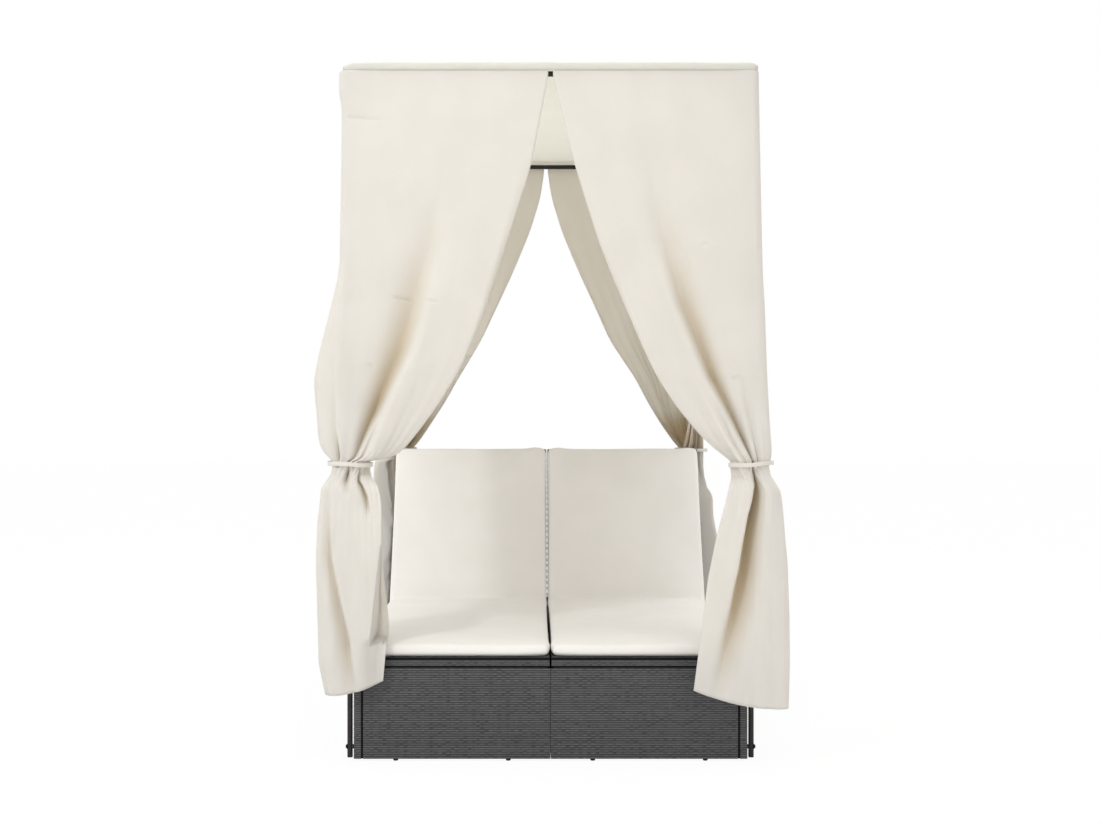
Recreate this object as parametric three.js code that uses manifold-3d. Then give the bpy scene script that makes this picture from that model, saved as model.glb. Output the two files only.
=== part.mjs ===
// Outdoor daybed with canopy: two woven loungers side by side with tilting backrests,
// under four posts that carry a cloth roof and four tied corner curtains.
// Millimetres, +Z up. X runs across, Y from the foot end (front, -Y) to the head end.
// The origin lies on the floor under the middle of the base.

import * as THREE from 'three';
import { mergeVertices } from 'three/addons/utils/BufferGeometryUtils.js';
import Module from 'manifold-3d';

const wasm = await Module();
wasm.setup();

// Base boxes
const loungerWidth = 568;
const loungerGap = 6;
const baseLength = 1860;
const footHeight = 7;
const panelHeight = 260;
const panelThickness = 20;
const skinThickness = 5;
const memberWidth = 20;
const cornerUprightWidth = 40;
const footEndUprightY = -320;
const headEndUprightY = 170;
const endPanelDepth = 16;
const endFaceProud = 5;
const columnGroove = 6;

// Seat and backrest frames
const frameGrooveHeight = 7;
const frameGrooveDepth = 8;
const frameHeight = 28;
const frameRailWidth = 20;
const deckThickness = 4;
const deckRecess = 1.2;
const crossTubeWidth = 20;
const crossTubeHeight = 16;
const seatCrossTubePitch = 290;
const seatCrossTubes = 3;
const hingeFromHead = 660;
const seatRailToHinge = 18;
const hingeToBackRail = 10.5;
const backrestLength = 655;
const backLipStart = 60;
const upperCrossTubeReach = 450;
const reclineDegrees = 62;

// Hinge lugs and rod
const hingeLugThickness = 4;
const hingeLugRadius = 9;
const hingeLugInset = 40;
const lugSideGap = 0.5;
const hingeRodRadius = 4;
const rodHeadRadius = 6.5;
const rodHeadThickness = 3;

// Support bail and its racks
const bailPivotReach = 230;
const bailPivotDrop = 28;
const bailLength = 390;
const bailFootDrop = 50;
const bailTubeRadius = 8;
const bailSideInset = 46;
const bailPinRadius = 4;
const bailLugThickness = 4;
const bailLugRadius = 10;
const footBarOverhang = 12;
const rackWidth = 34;
const rackHeight = 22;
const rackLead = 26;
const rackTail = 22;
const rackTeeth = 3;
const rackToothPitch = 36;
const rackToothHeight = 3;
const rackToothFlat = 4;

// Feet and bolts
const footRadius = 7;
const footChamfer = 1.5;
const footStemRadius = 3;
const footStemLength = 14;
const footSpacing = 328;
const boltRadius = 3;
const boltHeadRadius = 5.5;
const boltHeadHeight = 4;
const boltBite = 14;
const lowerBoltHeight = 41;
const upperBoltHeight = 236;
const joinerLowHeight = 66;
const joinerHighHeight = 220;
const joinerFromEnd = 30;
const joinerHeadRadius = 6;

// Canopy frame
const postRadius = 8;
const postWall = 1.3;
const postGap = 5;
const postInset = 12;
const postBottom = 10;
const postBossRadius = 6.5;
const topRailHeight = 2000;
const knuckleLength = 22;
const spigotLength = 32;
const spigotRadius = 6.1;

// Roof cloth
const roofRimOffset = 30;
const roofRimThickness = 4.5;
const roofRimHeight = 17.5;
const roofHemThickness = 12.4;
const roofHemWidth = 46;
const roofHemSlope = 8;
const roofClothThickness = 4;
const roofEdgeRound = 9;
const roofCrown = 5;

// Curtains and ties
const clothThickness = 3;
const curtainOffset = 22;
const headingDrop = 14;
const curtainMeetingGap = 14;
const tieHeight = 864;
const tieWidth = 13;
const tieThickness = 5;
const waistMargin = 1.5;
const bundleRadius = 54;
const bundlePleat = 7;
const tailOffset = 50;
const tailFold = 18;
const hemOffset = 72;
const hemFold = 32;
const tailCornerRadius = 34;
const pouchBulge = 72;
const tailReach = 150;
const frontLeftTailReach = 104;
const frontRightTailReach = 178;
const hemCornerHeight = 170;
const hemEdgeHeight = 226;
const frontLeftHemCornerHeight = 197;
const frontLeftHemEdgeHeight = 238;
const frontRightHemCornerHeight = 152;
const frontRightHemEdgeHeight = 222;

// Cushions
const cushionThickness = 40;
const cushionInset = 4;
const cushionCrown = 6;
const cushionDrawIn = 6;
const cushionEdgeRound = 11;
const cushionCornerRadius = 26;
const seatPadToHinge = 26;
const hingeToBackPad = 36;

// Clearances, overlaps of welds and overruns of cuts
const fitGap = 0.3;
const weldOverlap = 1;
const cutOverrun = 3;

// How finely round and soft shapes are divided
const tubeSides = 10;
const pinSides = 10;
const boltSides = 8;
const headSides = 6;
const tieSides = 20;
const lugSteps = 4;
const cornerSteps = 3;

// Sizes that follow from the ones above
const halfWidth = loungerWidth / 2;
const loungerCentreX = loungerGap / 2 + halfWidth;
const baseHalfWidth = loungerCentreX + halfWidth;
const halfLength = baseLength / 2;
const halfFrame = frameHeight / 2;
const panelTop = footHeight + panelHeight;
const seatMiddleZ = panelTop + frameGrooveHeight + halfFrame;
const hingeFromFront = baseLength - hingeFromHead;
const hinge = { y: halfLength - hingeFromHead, z: seatMiddleZ };
const bailHalfSpan = halfWidth - bailSideInset;
const recline = THREE.MathUtils.degToRad(reclineDegrees);
const postX = baseHalfWidth + postGap + postRadius;
const postY = halfLength - postInset;
const bail = bailPoints();

const paint = {
  rattan: new THREE.MeshStandardMaterial({ color: 0x464648, roughness: 0.55, metalness: 0 }),
  steel: new THREE.MeshStandardMaterial({ color: 0x2a2727, roughness: 0.4, metalness: 0.6 }),
  plastic: new THREE.MeshStandardMaterial({ color: 0x1d1d1e, roughness: 0.6, metalness: 0 }),
  cushion: new THREE.MeshStandardMaterial({ color: 0xefece4, roughness: 0.95, metalness: 0 }),
  curtain: new THREE.MeshStandardMaterial({ color: 0xe6e0d2, roughness: 0.95, metalness: 0 }),
};

const daybed = new THREE.Group();

// The bail's pivot and foot at rest, seen from the side
function bailPoints() {
  const pivot = {
    y: hinge.y + bailPivotReach * Math.cos(recline) + bailPivotDrop * Math.sin(recline),
    z: hinge.z + bailPivotReach * Math.sin(recline) - bailPivotDrop * Math.cos(recline),
  };
  const footZ = hinge.z - bailFootDrop;
  const slope = Math.asin((pivot.z - footZ) / bailLength);
  return { pivot, foot: { y: pivot.y + bailLength * Math.cos(slope), z: footZ } };
}

// A closed geometry as a solid that can be joined and cut
function solid(geometry) {
  const bare = geometry.clone();
  bare.deleteAttribute('normal');
  bare.deleteAttribute('uv');
  const merged = mergeVertices(bare);
  return new wasm.Manifold(new wasm.Mesh({
    numProp: 3,
    vertProperties: merged.attributes.position.array,
    triVerts: new Uint32Array(merged.index.array),
  }));
}

// A solid as a geometry with one normal per face
function geometryOf(shape) {
  const mesh = shape.getMesh();
  const geometry = new THREE.BufferGeometry();
  geometry.setAttribute('position', new THREE.BufferAttribute(new Float32Array(mesh.vertProperties), 3));
  geometry.setIndex(new THREE.BufferAttribute(new Uint32Array(mesh.triVerts), 1));
  const flat = geometry.toNonIndexed();
  flat.computeVertexNormals();
  return flat;
}

function join(shapes) {
  return shapes.reduce((whole, shape) => whole.add(shape));
}

function cut(shape, tools) {
  return tools.reduce((left, tool) => left.subtract(tool), shape);
}

// A named piece, placed in the daybed or in a group inside it
function addPiece(name, geometry, material, parent = daybed) {
  const mesh = new THREE.Mesh(geometry, material.clone());
  mesh.name = name;
  parent.add(mesh);
}

// A block between any two opposite corners
function block(cornerA, cornerB) {
  const size = cornerA.map((value, axis) => Math.abs(cornerB[axis] - value));
  const middle = cornerA.map((value, axis) => (value + cornerB[axis]) / 2);
  return solid(new THREE.BoxGeometry(...size).translate(...middle));
}

// A round bar between two points
function bar(radius, start, end, sides = tubeSides) {
  const along = new THREE.Vector3(...end).sub(new THREE.Vector3(...start));
  const geometry = new THREE.CylinderGeometry(radius, radius, along.length(), sides);
  geometry.translate(0, along.length() / 2, 0);
  const turn = new THREE.Quaternion().setFromUnitVectors(new THREE.Vector3(0, 1, 0), along.normalize());
  return solid(geometry.applyQuaternion(turn).translate(...start));
}

function ball(radius, centre) {
  return solid(new THREE.SphereGeometry(radius, tubeSides, tubeSides / 2).translate(...centre));
}

// The corner radius of a faceted hole that leaves a bar of the given radius free all round
function holeRadius(radius, sides = pinSides) {
  return (radius + fitGap) / Math.cos(Math.PI / sides);
}

// A round solid about the Z axis from its half profile of [radius, height] points
function turned(profile, sides) {
  return new THREE.LatheGeometry(profile.map(([r, z]) => new THREE.Vector2(r, z)), sides).rotateX(Math.PI / 2);
}

// A plate between two places along X, from its outline in (y, z)
function sidePlate(outline, xStart, xEnd) {
  const geometry = new THREE.ExtrudeGeometry(outline, {
    depth: xEnd - xStart, bevelEnabled: false, curveSegments: lugSteps,
  });
  geometry.applyMatrix4(new THREE.Matrix4().makeBasis(
    new THREE.Vector3(0, 1, 0), new THREE.Vector3(0, 0, 1), new THREE.Vector3(1, 0, 0)));
  return solid(geometry.translate(xStart, 0, 0));
}

// A closed surface through stacked loops of equal count, with its first and last loop closed at a centre
function stackedShell(loops, firstCentre, lastCentre) {
  const count = loops[0].length;
  const points = [firstCentre, ...loops.flat(), lastCentre];
  const index = [];
  const at = (loop, place) => 1 + loop * count + (place % count);
  for (let place = 0; place < count; place += 1) {
    index.push(0, at(0, place + 1), at(0, place));
    index.push(points.length - 1, at(loops.length - 1, place), at(loops.length - 1, place + 1));
    for (let loop = 0; loop + 1 < loops.length; loop += 1) {
      index.push(at(loop, place), at(loop, place + 1), at(loop + 1, place));
      index.push(at(loop, place + 1), at(loop + 1, place + 1), at(loop + 1, place));
    }
  }
  return indexedGeometry(points, index);
}

function indexedGeometry(points, index) {
  const geometry = new THREE.BufferGeometry().setFromPoints(points);
  geometry.setIndex(index);
  const flat = geometry.toNonIndexed();
  flat.computeVertexNormals();
  return flat;
}

// A rounded rectangle at one height, counter-clockwise from above, whose sides may be drawn in
function roundedLoop(halfX, halfY, radius, z, drawIn = 0, sideSteps = 0) {
  const corners = [[1, 1], [-1, 1], [-1, -1], [1, -1]];
  const loop = [];
  corners.forEach(([sx, sy], corner) => {
    for (let step = 0; step <= cornerSteps; step += 1) {
      const angle = (corner + step / cornerSteps) * Math.PI / 2;
      loop.push(new THREE.Vector3(
        sx * (halfX - radius) + radius * Math.cos(angle), sy * (halfY - radius) + radius * Math.sin(angle), z));
    }
    const [nx, ny] = corners[(corner + 1) % corners.length];
    const start = loop[loop.length - 1];
    const alongX = sy === ny;
    for (let step = 1; step <= sideSteps; step += 1) {
      const share = step / (sideSteps + 1);
      const pull = drawIn * Math.sin(Math.PI * share);
      loop.push(alongX
        ? new THREE.Vector3(THREE.MathUtils.lerp(start.x, nx * (halfX - radius), share), sy * (halfY - pull), z)
        : new THREE.Vector3(sx * (halfX - pull), THREE.MathUtils.lerp(start.y, ny * (halfY - radius), share), z));
    }
  });
  return loop;
}

// Notched rack, seen from the side: low round-topped stops behind the place where the bail stands
function rackOutline() {
  const top = bail.foot.z - bailTubeRadius - fitGap;
  const startY = bail.foot.y - rackLead;
  const endY = bail.foot.y + rackTeeth * rackToothPitch + rackTail;
  const outline = new THREE.Shape();
  outline.moveTo(startY, top - rackHeight);
  outline.lineTo(endY, top - rackHeight);
  outline.lineTo(endY, top);
  for (let tooth = rackTeeth; tooth > 0; tooth -= 1) {
    const crest = bail.foot.y + tooth * rackToothPitch;
    outline.lineTo(crest + rackToothFlat / 2, top);
    outline.lineTo(crest + rackToothFlat / 2, top + rackToothHeight);
    outline.lineTo(crest - rackToothFlat / 2, top + rackToothHeight);
    outline.lineTo(crest - rackToothPitch / 2, top);
  }
  outline.lineTo(startY, top);
  outline.closePath();
  return { outline, startY, endY };
}

function sideUpright(y, width) {
  return block([0, y - width / 2, footHeight], [panelThickness, y + width / 2, panelTop]);
}

// Side panel with its woven skin at x = 0 and its open back towards +X
function sidePanel() {
  const rack = rackOutline();
  return join([
    block([0, -halfLength, footHeight], [skinThickness, halfLength, panelTop]),
    block([0, -halfLength, footHeight], [panelThickness, halfLength, footHeight + memberWidth]),
    block([0, -halfLength, panelTop - memberWidth], [panelThickness, halfLength, panelTop]),
    sideUpright(cornerUprightWidth / 2 - halfLength, cornerUprightWidth),
    sideUpright(footEndUprightY, memberWidth),
    sideUpright(headEndUprightY, memberWidth),
    sideUpright(rack.startY + memberWidth / 2, memberWidth),
    sideUpright(rack.endY - memberWidth / 2, memberWidth),
    sideUpright(halfLength - cornerUprightWidth / 2, cornerUprightWidth),
    sidePlate(rack.outline, weldOverlap, panelThickness + rackWidth),
  ]);
}

function panelHole(y, z, depth) {
  return bar(holeRadius(boltRadius, boltSides), [-cutOverrun, y, z], [depth, y, z], boltSides);
}

// Outer side panel, with blind holes for the post bolts
function outerSidePanel() {
  const places = [-postY, postY].flatMap((y) => [lowerBoltHeight, upperBoltHeight].map((z) => [y, z]));
  return cut(sidePanel(), places.map(([y, z]) => panelHole(y, z, boltBite + fitGap)));
}

// Inner side panel, with through holes for the joining bolts
function innerSidePanel() {
  const reach = halfLength - joinerFromEnd;
  const places = [-reach, reach].flatMap((y) => [joinerLowHeight, joinerHighHeight].map((z) => [y, z]));
  return cut(sidePanel(), places.map(([y, z]) => panelHole(y, z, panelThickness + cutOverrun)));
}

// Front (-1) or rear (+1) panel, whose woven face stands proud between two dark grooves
function endPanel(outward) {
  const reach = halfWidth - panelThickness - fitGap;
  const faceReach = halfWidth - panelThickness - columnGroove;
  const depthAt = (depth) => outward * (halfLength - depth);
  const innerDepth = endFaceProud + endPanelDepth;
  const body = block([-reach, depthAt(endFaceProud), footHeight], [reach, depthAt(innerDepth), panelTop]);
  const pocket = block(
    [memberWidth - reach, depthAt(endFaceProud + skinThickness), footHeight + memberWidth],
    [reach - memberWidth, depthAt(innerDepth + cutOverrun), panelTop - memberWidth]);
  const face = block([-faceReach, depthAt(0), footHeight], [faceReach, depthAt(endFaceProud + weldOverlap), panelTop]);
  const upright = block(
    [-memberWidth / 2, depthAt(endFaceProud + weldOverlap), footHeight + weldOverlap],
    [memberWidth / 2, depthAt(innerDepth), panelTop - weldOverlap]);
  const stemHoles = [-footSpacing / 2, footSpacing / 2].map((x) => bar(holeRadius(footStemRadius, boltSides),
    [x, depthAt(footDepth), footHeight - cutOverrun], [x, depthAt(footDepth), footHeight + footStemLength], boltSides));
  return cut(join([cut(body, [pocket]), face, upright]), stemHoles);
}

// The feet stand under the middle of the front and rear panels' depth
const footDepth = endFaceProud + endPanelDepth / 2;

// Screw-in foot with a round pad
function foot() {
  const padTop = footHeight - fitGap;
  const stemTop = footHeight + footStemLength - fitGap;
  return turned([
    [0, 0],
    [footRadius - footChamfer, 0],
    [footRadius, footChamfer],
    [footRadius, padTop],
    [footStemRadius, padTop],
    [footStemRadius, stemTop],
    [0, stemTop],
  ], boltSides);
}

// Rails of a seat or backrest frame between two places along Y, about the height of its hinge
function railRing(yStart, yEnd) {
  const outer = block([-halfWidth, yStart, -halfFrame], [halfWidth, yEnd, halfFrame]);
  const opening = block(
    [frameRailWidth - halfWidth, yStart + frameRailWidth, -halfFrame - cutOverrun],
    [halfWidth - frameRailWidth, yEnd - frameRailWidth, halfFrame + cutOverrun]);
  return cut(outer, [opening]);
}

// Recessed strips under the side rails, which lie on the side panels
function sideLips(yStart, yEnd) {
  const low = fitGap - halfFrame - frameGrooveHeight;
  return [-1, 1].map((side) => block(
    [side * (halfWidth - frameRailWidth), yStart, low],
    [side * (halfWidth - frameGrooveDepth), yEnd, weldOverlap - halfFrame]));
}

// Recessed strip under an end rail whose outer face is at the given place
function endLip(yFace, inward) {
  const low = fitGap - halfFrame - frameGrooveHeight;
  const reach = halfWidth - frameGrooveDepth;
  return block(
    [-reach, yFace + inward * frameGrooveDepth, low],
    [reach, yFace + inward * frameRailWidth, weldOverlap - halfFrame]);
}

function wovenDeck(yStart, yEnd) {
  const reach = halfWidth - frameRailWidth + weldOverlap;
  const top = halfFrame - deckRecess;
  return block(
    [-reach, yStart + frameRailWidth - weldOverlap, top - deckThickness],
    [reach, yEnd - frameRailWidth + weldOverlap, top]);
}

// Tube across a frame, welded under its woven deck
function crossTube(y) {
  const reach = halfWidth - frameRailWidth + weldOverlap;
  return block(
    [-reach, y - crossTubeWidth / 2, crossTubeBottom],
    [reach, y + crossTubeWidth / 2, crossTubeBottom + crossTubeHeight]);
}

const crossTubeBottom = halfFrame - deckRecess - deckThickness + weldOverlap - crossTubeHeight;

// Lug round an axis along X, reaching from it to a rail on the side that towards gives
function hingeLug(xMiddle, reach, towards) {
  const outline = new THREE.Shape();
  const end = towards * (reach + weldOverlap);
  outline.moveTo(end, hingeLugRadius);
  outline.lineTo(end, -hingeLugRadius);
  outline.lineTo(0, -hingeLugRadius);
  outline.absarc(0, 0, hingeLugRadius, -Math.PI / 2, Math.PI / 2, towards > 0);
  outline.closePath();
  const plate = sidePlate(outline, xMiddle - hingeLugThickness / 2, xMiddle + hingeLugThickness / 2);
  const overrun = hingeLugThickness / 2 + cutOverrun;
  return cut(plate, [bar(holeRadius(hingeRodRadius), [xMiddle - overrun, 0, 0], [xMiddle + overrun, 0, 0], pinSides)]);
}

// Places of the seat's lugs across the lounger; the backrest's lugs lie beside them
const seatLugX = halfWidth - hingeLugInset;
const lugPitch = hingeLugThickness + lugSideGap;

function seatFrame() {
  const start = -hingeFromFront;
  const end = -seatRailToHinge;
  const tubes = [];
  for (let tube = 1; tube <= seatCrossTubes; tube += 1) tubes.push(crossTube(start + tube * seatCrossTubePitch));
  const lugs = [-seatLugX, 0, seatLugX].map((x) => hingeLug(x, seatRailToHinge, -1));
  return join([
    railRing(start, end), ...sideLips(start + frameGrooveDepth, end), endLip(start, 1), wovenDeck(start, end),
    ...tubes, ...lugs,
  ]);
}

// Lug that hangs from the backrest's lower cross tube and holds a pivot of the bail
function bailLug(side) {
  const top = crossTubeBottom + weldOverlap + bailPivotDrop;
  const outline = new THREE.Shape();
  outline.moveTo(bailLugRadius, top);
  outline.lineTo(-bailLugRadius, top);
  outline.lineTo(-bailLugRadius, 0);
  outline.absarc(0, 0, bailLugRadius, Math.PI, 0, false);
  outline.closePath();
  const inner = bailHalfSpan + bailTubeRadius + lugSideGap;
  const ends = [side * inner, side * (inner + bailLugThickness)].sort((a, b) => a - b);
  const hole = bar(holeRadius(bailPinRadius), [ends[0] - cutOverrun, 0, 0], [ends[1] + cutOverrun, 0, 0], pinSides);
  return cut(sidePlate(outline, ...ends), [hole]).translate([0, bailPivotReach, -bailPivotDrop]);
}

// Backrest frame lying flat behind its hinge, which is its origin
function backrestFrame() {
  const start = hingeToBackRail;
  const end = backrestLength;
  const lugs = [lugPitch - seatLugX, lugPitch, seatLugX - lugPitch].map((x) => hingeLug(x, hingeToBackRail, 1));
  return join([
    railRing(start, end), ...sideLips(backLipStart, end - frameGrooveDepth), endLip(end, -1), wovenDeck(start, end),
    crossTube(bailPivotReach), crossTube(upperCrossTubeReach), ...lugs, bailLug(-1), bailLug(1),
  ]);
}

// Hinge rod with a formed head at each end
function hingeRod() {
  const reach = seatLugX + hingeLugThickness / 2 + fitGap;
  const rod = bar(hingeRodRadius, [-reach - weldOverlap, 0, 0], [reach + weldOverlap, 0, 0], pinSides);
  const heads = [-1, 1].map((side) =>
    bar(rodHeadRadius, [side * reach, 0, 0], [side * (reach + rodHeadThickness), 0, 0]));
  return join([rod, ...heads]);
}

// Support bail: two legs with outward pins, and a foot bar that stands on the racks
function supportBail() {
  const pieces = [];
  const at = (x, point) => [x, point.y, point.z];
  for (const side of [-1, 1]) {
    const x = side * bailHalfSpan;
    const pinEnd = side * (bailHalfSpan + bailTubeRadius + lugSideGap + bailLugThickness + weldOverlap);
    pieces.push(bar(bailTubeRadius, at(x, bail.pivot), at(x, bail.foot)));
    pieces.push(ball(bailTubeRadius, at(x, bail.pivot)));
    pieces.push(bar(bailPinRadius, at(x, bail.pivot), at(pinEnd, bail.pivot), pinSides));
  }
  const reach = bailHalfSpan + footBarOverhang;
  pieces.push(bar(bailTubeRadius, at(-reach, bail.foot), at(reach, bail.foot)));
  return join(pieces);
}

// Pad with a crowned top, rounded edges and sides drawn in between its corners, standing on z = 0
function cushion(width, length) {
  const halfX = width / 2;
  const halfY = length / 2;
  const round = cushionEdgeRound;
  const early = round * edgeBendShare;
  const top = cushionThickness;
  const field = [...crownShares].map(([inset, rise]) => [halfX * inset, top + cushionCrown * rise]);
  const sections = [[round, 0], [early, early], [0, round], [0, top - round], [early, top - early], [round, top]];
  const loops = [...sections, ...field].map(([inset, z]) => roundedLoop(
    halfX - inset, halfY - inset, Math.max(cushionCornerRadius - inset, round), z, cushionDrawIn, cushionSideSteps));
  return stackedShell(loops, new THREE.Vector3(), new THREE.Vector3(0, 0, top + cushionCrown));
}

// Where an edge's arc lies halfway round, and the crown's rise at insets from the edge
const edgeBendShare = 0.3;
const crownShares = [[0.4, 0.75], [0.8, 1]];
const cushionSideSteps = 2;

// Post with its knuckle, rail spigots and bolt bosses; its axis is at x = y = 0, the base lies towards -X and -Y
function post() {
  const corner = [0, 0, topRailHeight];
  const toBase = postGap + postRadius;
  const pieces = [bar(postRadius, [0, 0, postBottom], corner), ball(postRadius, corner)];
  for (const [dx, dy] of [[-1, 0], [0, -1]]) {
    const along = (distance) => [dx * distance, dy * distance, topRailHeight];
    pieces.push(bar(postRadius, corner, along(knuckleLength)));
    pieces.push(bar(spigotRadius, along(knuckleLength - weldOverlap), along(knuckleLength + spigotLength)));
  }
  const tools = [bar(postRadius - postWall, [0, 0, postBottom - cutOverrun], [0, 0, topRailHeight - knuckleLength])];
  for (const z of [lowerBoltHeight, upperBoltHeight]) {
    pieces.push(bar(postBossRadius, [-postWall, 0, z], [fitGap - toBase, 0, z]));
    tools.push(bar(holeRadius(boltRadius, boltSides), [postRadius + cutOverrun, 0, z], [-toBase - cutOverrun, 0, z], boltSides));
  }
  return cut(join(pieces), tools);
}

// Bolt along -X from outside the post at x = 0 into the side panel
function postBolt() {
  const start = postRadius + fitGap;
  const tip = postGap + postRadius + boltBite;
  return join([
    bar(boltHeadRadius, [start + boltHeadHeight, 0, 0], [start, 0, 0], boltSides),
    bar(boltRadius, [start + weldOverlap, 0, 0], [-tip, 0, 0], boltSides),
  ]);
}

// Bolt and nut through the two inner side panels
function joiningBolt() {
  const grip = loungerGap / 2 + panelThickness + fitGap;
  const heads = [-1, 1].map((side) =>
    bar(joinerHeadRadius, [side * grip, 0, 0], [side * (grip + boltHeadHeight), 0, 0], headSides));
  return join([bar(boltRadius, [-grip - weldOverlap, 0, 0], [grip + weldOverlap, 0, 0], boltSides), ...heads]);
}

// Hollow rail between the knuckles of two posts that stand the given distance from the middle
function topRail(halfSpan, direction) {
  const ends = (distance) => [-distance, distance].map((s) => direction.map((d, axis) => (axis < 2 ? d * s : topRailHeight)));
  const reach = halfSpan - knuckleLength - fitGap;
  return cut(bar(postRadius, ...ends(reach)), [bar(holeRadius(spigotRadius, tubeSides), ...ends(reach + cutOverrun))]);
}

// How far the middle of a curtain's cloth lies over a rail's axis
const headingRise = postRadius + fitGap + clothThickness / 2;
const headingTop = topRailHeight + headingRise + clothThickness / 2;

// Roof cloth with a thick hem that lies on the curtain headings and a rim that hangs outside them
function roof() {
  const hemBottom = headingTop + fitGap;
  const top = hemBottom + roofHemThickness;
  const rimInner = roofRimOffset - roofRimThickness;
  const early = roofEdgeRound * edgeBendShare;
  const sections = [
    [-roofHemWidth, top - roofClothThickness],
    [roofHemSlope - roofHemWidth, hemBottom],
    [rimInner, hemBottom],
    [rimInner, top - roofRimHeight],
    [roofRimOffset, top - roofRimHeight],
    [roofRimOffset, top - roofEdgeRound],
    [roofRimOffset - early, top - early],
    [roofRimOffset - roofEdgeRound, top],
    [-roofHemWidth, top],
  ];
  const loops = sections.map(([offset, z]) => roundedLoop(
    postX + offset, postY + offset, Math.max(offset, roofClothThickness), z));
  const inner = (share, z) => roundedLoop(postX * share, postY * share, roofClothThickness, z);
  const crownZ = top + roofCrown;
  const loopsBelow = [inner(roofFieldShare, crownZ - roofClothThickness), ...loops];
  return stackedShell([...loopsBelow, inner(roofFieldShare, crownZ)],
    new THREE.Vector3(0, 0, crownZ - roofClothThickness), new THREE.Vector3(0, 0, crownZ));
}

// The crowned field of the roof as a share of the post spacing
const roofFieldShare = 0.55;

// Each curtain's cloth in its own corner frame: p runs inwards across the bed and q inwards along it from the post.
// Columns run from the free edge on the front or rear rail, round the post, to the free edge on the side rail.
const endColumns = 7;
const cornerColumns = 2;
const columns = 2 * endColumns + cornerColumns;
const upperRows = 5;
const tailRows = 4;
const pleats = 4;
const bundleSweep = THREE.MathUtils.degToRad(310);

// The heading bends over the rail: shares of the curtain's offset and of the heading's rise or drop
const headingShares = [[0.05, 1], [0.4, 0.93], [0.93, 0.25]];

function pointAt(p, q, normalP, normalQ) {
  return { p, q, normalP, normalQ };
}

// Cloth under the rails at one column, as shares from 0 to 1 of all columns
function railPath(share, offset) {
  const column = share * columns;
  const endReach = postX - curtainMeetingGap / 2;
  const sideReach = postY - curtainMeetingGap / 2;
  if (column <= endColumns) return pointAt(endReach * (1 - column / endColumns), -offset, 0, -1);
  if (column >= endColumns + cornerColumns) {
    return pointAt(-offset, sideReach * (column - endColumns - cornerColumns) / endColumns, -1, 0);
  }
  const turn = (column - endColumns) / cornerColumns * Math.PI / 2;
  return pointAt(-offset * Math.sin(turn), -offset * Math.cos(turn), -Math.sin(turn), -Math.cos(turn));
}

// Cloth gathered round the post
function bundlePath(share) {
  const angle = (0.5 - share) * bundleSweep - Math.PI * 3 / 4;
  const radius = bundleRadius + bundlePleat * Math.cos(2 * Math.PI * pleats * share);
  return pointAt(radius * Math.cos(angle), radius * Math.sin(angle), Math.cos(angle), Math.sin(angle));
}

// Cloth hanging round the outside of the base's corner
function tailPath(share, offset, endReach, sideReach) {
  const endRun = endReach + offset - tailCornerRadius;
  const sideRun = sideReach + offset - tailCornerRadius;
  const bend = tailCornerRadius * Math.PI / 2;
  const along = share * (endRun + bend + sideRun);
  if (along <= endRun) return pointAt(endReach - along, -offset, 0, -1);
  if (along >= endRun + bend) return pointAt(-offset, along - endRun - bend + tailCornerRadius - offset, -1, 0);
  const turn = (along - endRun) / tailCornerRadius;
  const centre = tailCornerRadius - offset;
  return pointAt(centre - tailCornerRadius * Math.sin(turn), centre - tailCornerRadius * Math.cos(turn),
    -Math.sin(turn), -Math.cos(turn));
}

function blend(a, b, share) {
  const mixed = (key) => THREE.MathUtils.lerp(a[key], b[key], share);
  return pointAt(mixed('p'), mixed('q'), mixed('normalP'), mixed('normalQ'));
}

function pushed(point, distance) {
  const length = Math.hypot(point.normalP, point.normalQ);
  return pointAt(point.p + distance * point.normalP / length, point.q + distance * point.normalQ / length,
    point.normalP, point.normalQ);
}

// How far a curtain's cloth has drawn from the rail to the tie at a share of its fall
function drawn(style, fall) {
  return style.steadyShare * fall + (1 - style.steadyShare) * fall ** style.lateShare;
}

// Cloth that billows out over the tie on one part of the side
function pouch(style, share, fall) {
  const rise = THREE.MathUtils.smoothstep(fall, ...pouchRiseShares);
  const fade = 1 - THREE.MathUtils.smoothstep(fall, ...pouchFadeShares);
  const across = Math.exp(-(((share - pouchPlaceShare) / pouchSpreadShare) ** 2));
  return style.pouch * rise * fade * across;
}

// Shares of the fall over which the pouch swells and closes, and its place among the columns
const pouchRiseShares = [0.5, 0.8];
const pouchFadeShares = [0.9, 1];
const pouchPlaceShare = 0.66;
const pouchSpreadShare = 0.13;

// Shares of the tail's drop over which it opens from the bundle
const tailOpeningShares = [0, 0.4];

// The four curtains: where each is, how it is drawn and how its tail hangs
const curtainStyles = [
  { name: 'front_left', x: -1, y: -1, steadyShare: 0.54, lateShare: 6.3, pouch: pouchBulge,
    endReach: frontLeftTailReach, hemCorner: frontLeftHemCornerHeight, hemEdge: frontLeftHemEdgeHeight },
  { name: 'front_right', x: 1, y: -1, steadyShare: 0.58, lateShare: 6.3, pouch: 0,
    endReach: frontRightTailReach, hemCorner: frontRightHemCornerHeight, hemEdge: frontRightHemEdgeHeight },
  { name: 'rear_left', x: -1, y: 1, steadyShare: 0.2, lateShare: 1.6, pouch: 0,
    endReach: tailReach, hemCorner: hemCornerHeight, hemEdge: hemEdgeHeight },
  { name: 'rear_right', x: 1, y: 1, steadyShare: 0.2, lateShare: 1.6, pouch: 0,
    endReach: tailReach, hemCorner: hemCornerHeight, hemEdge: hemEdgeHeight },
];

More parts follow.
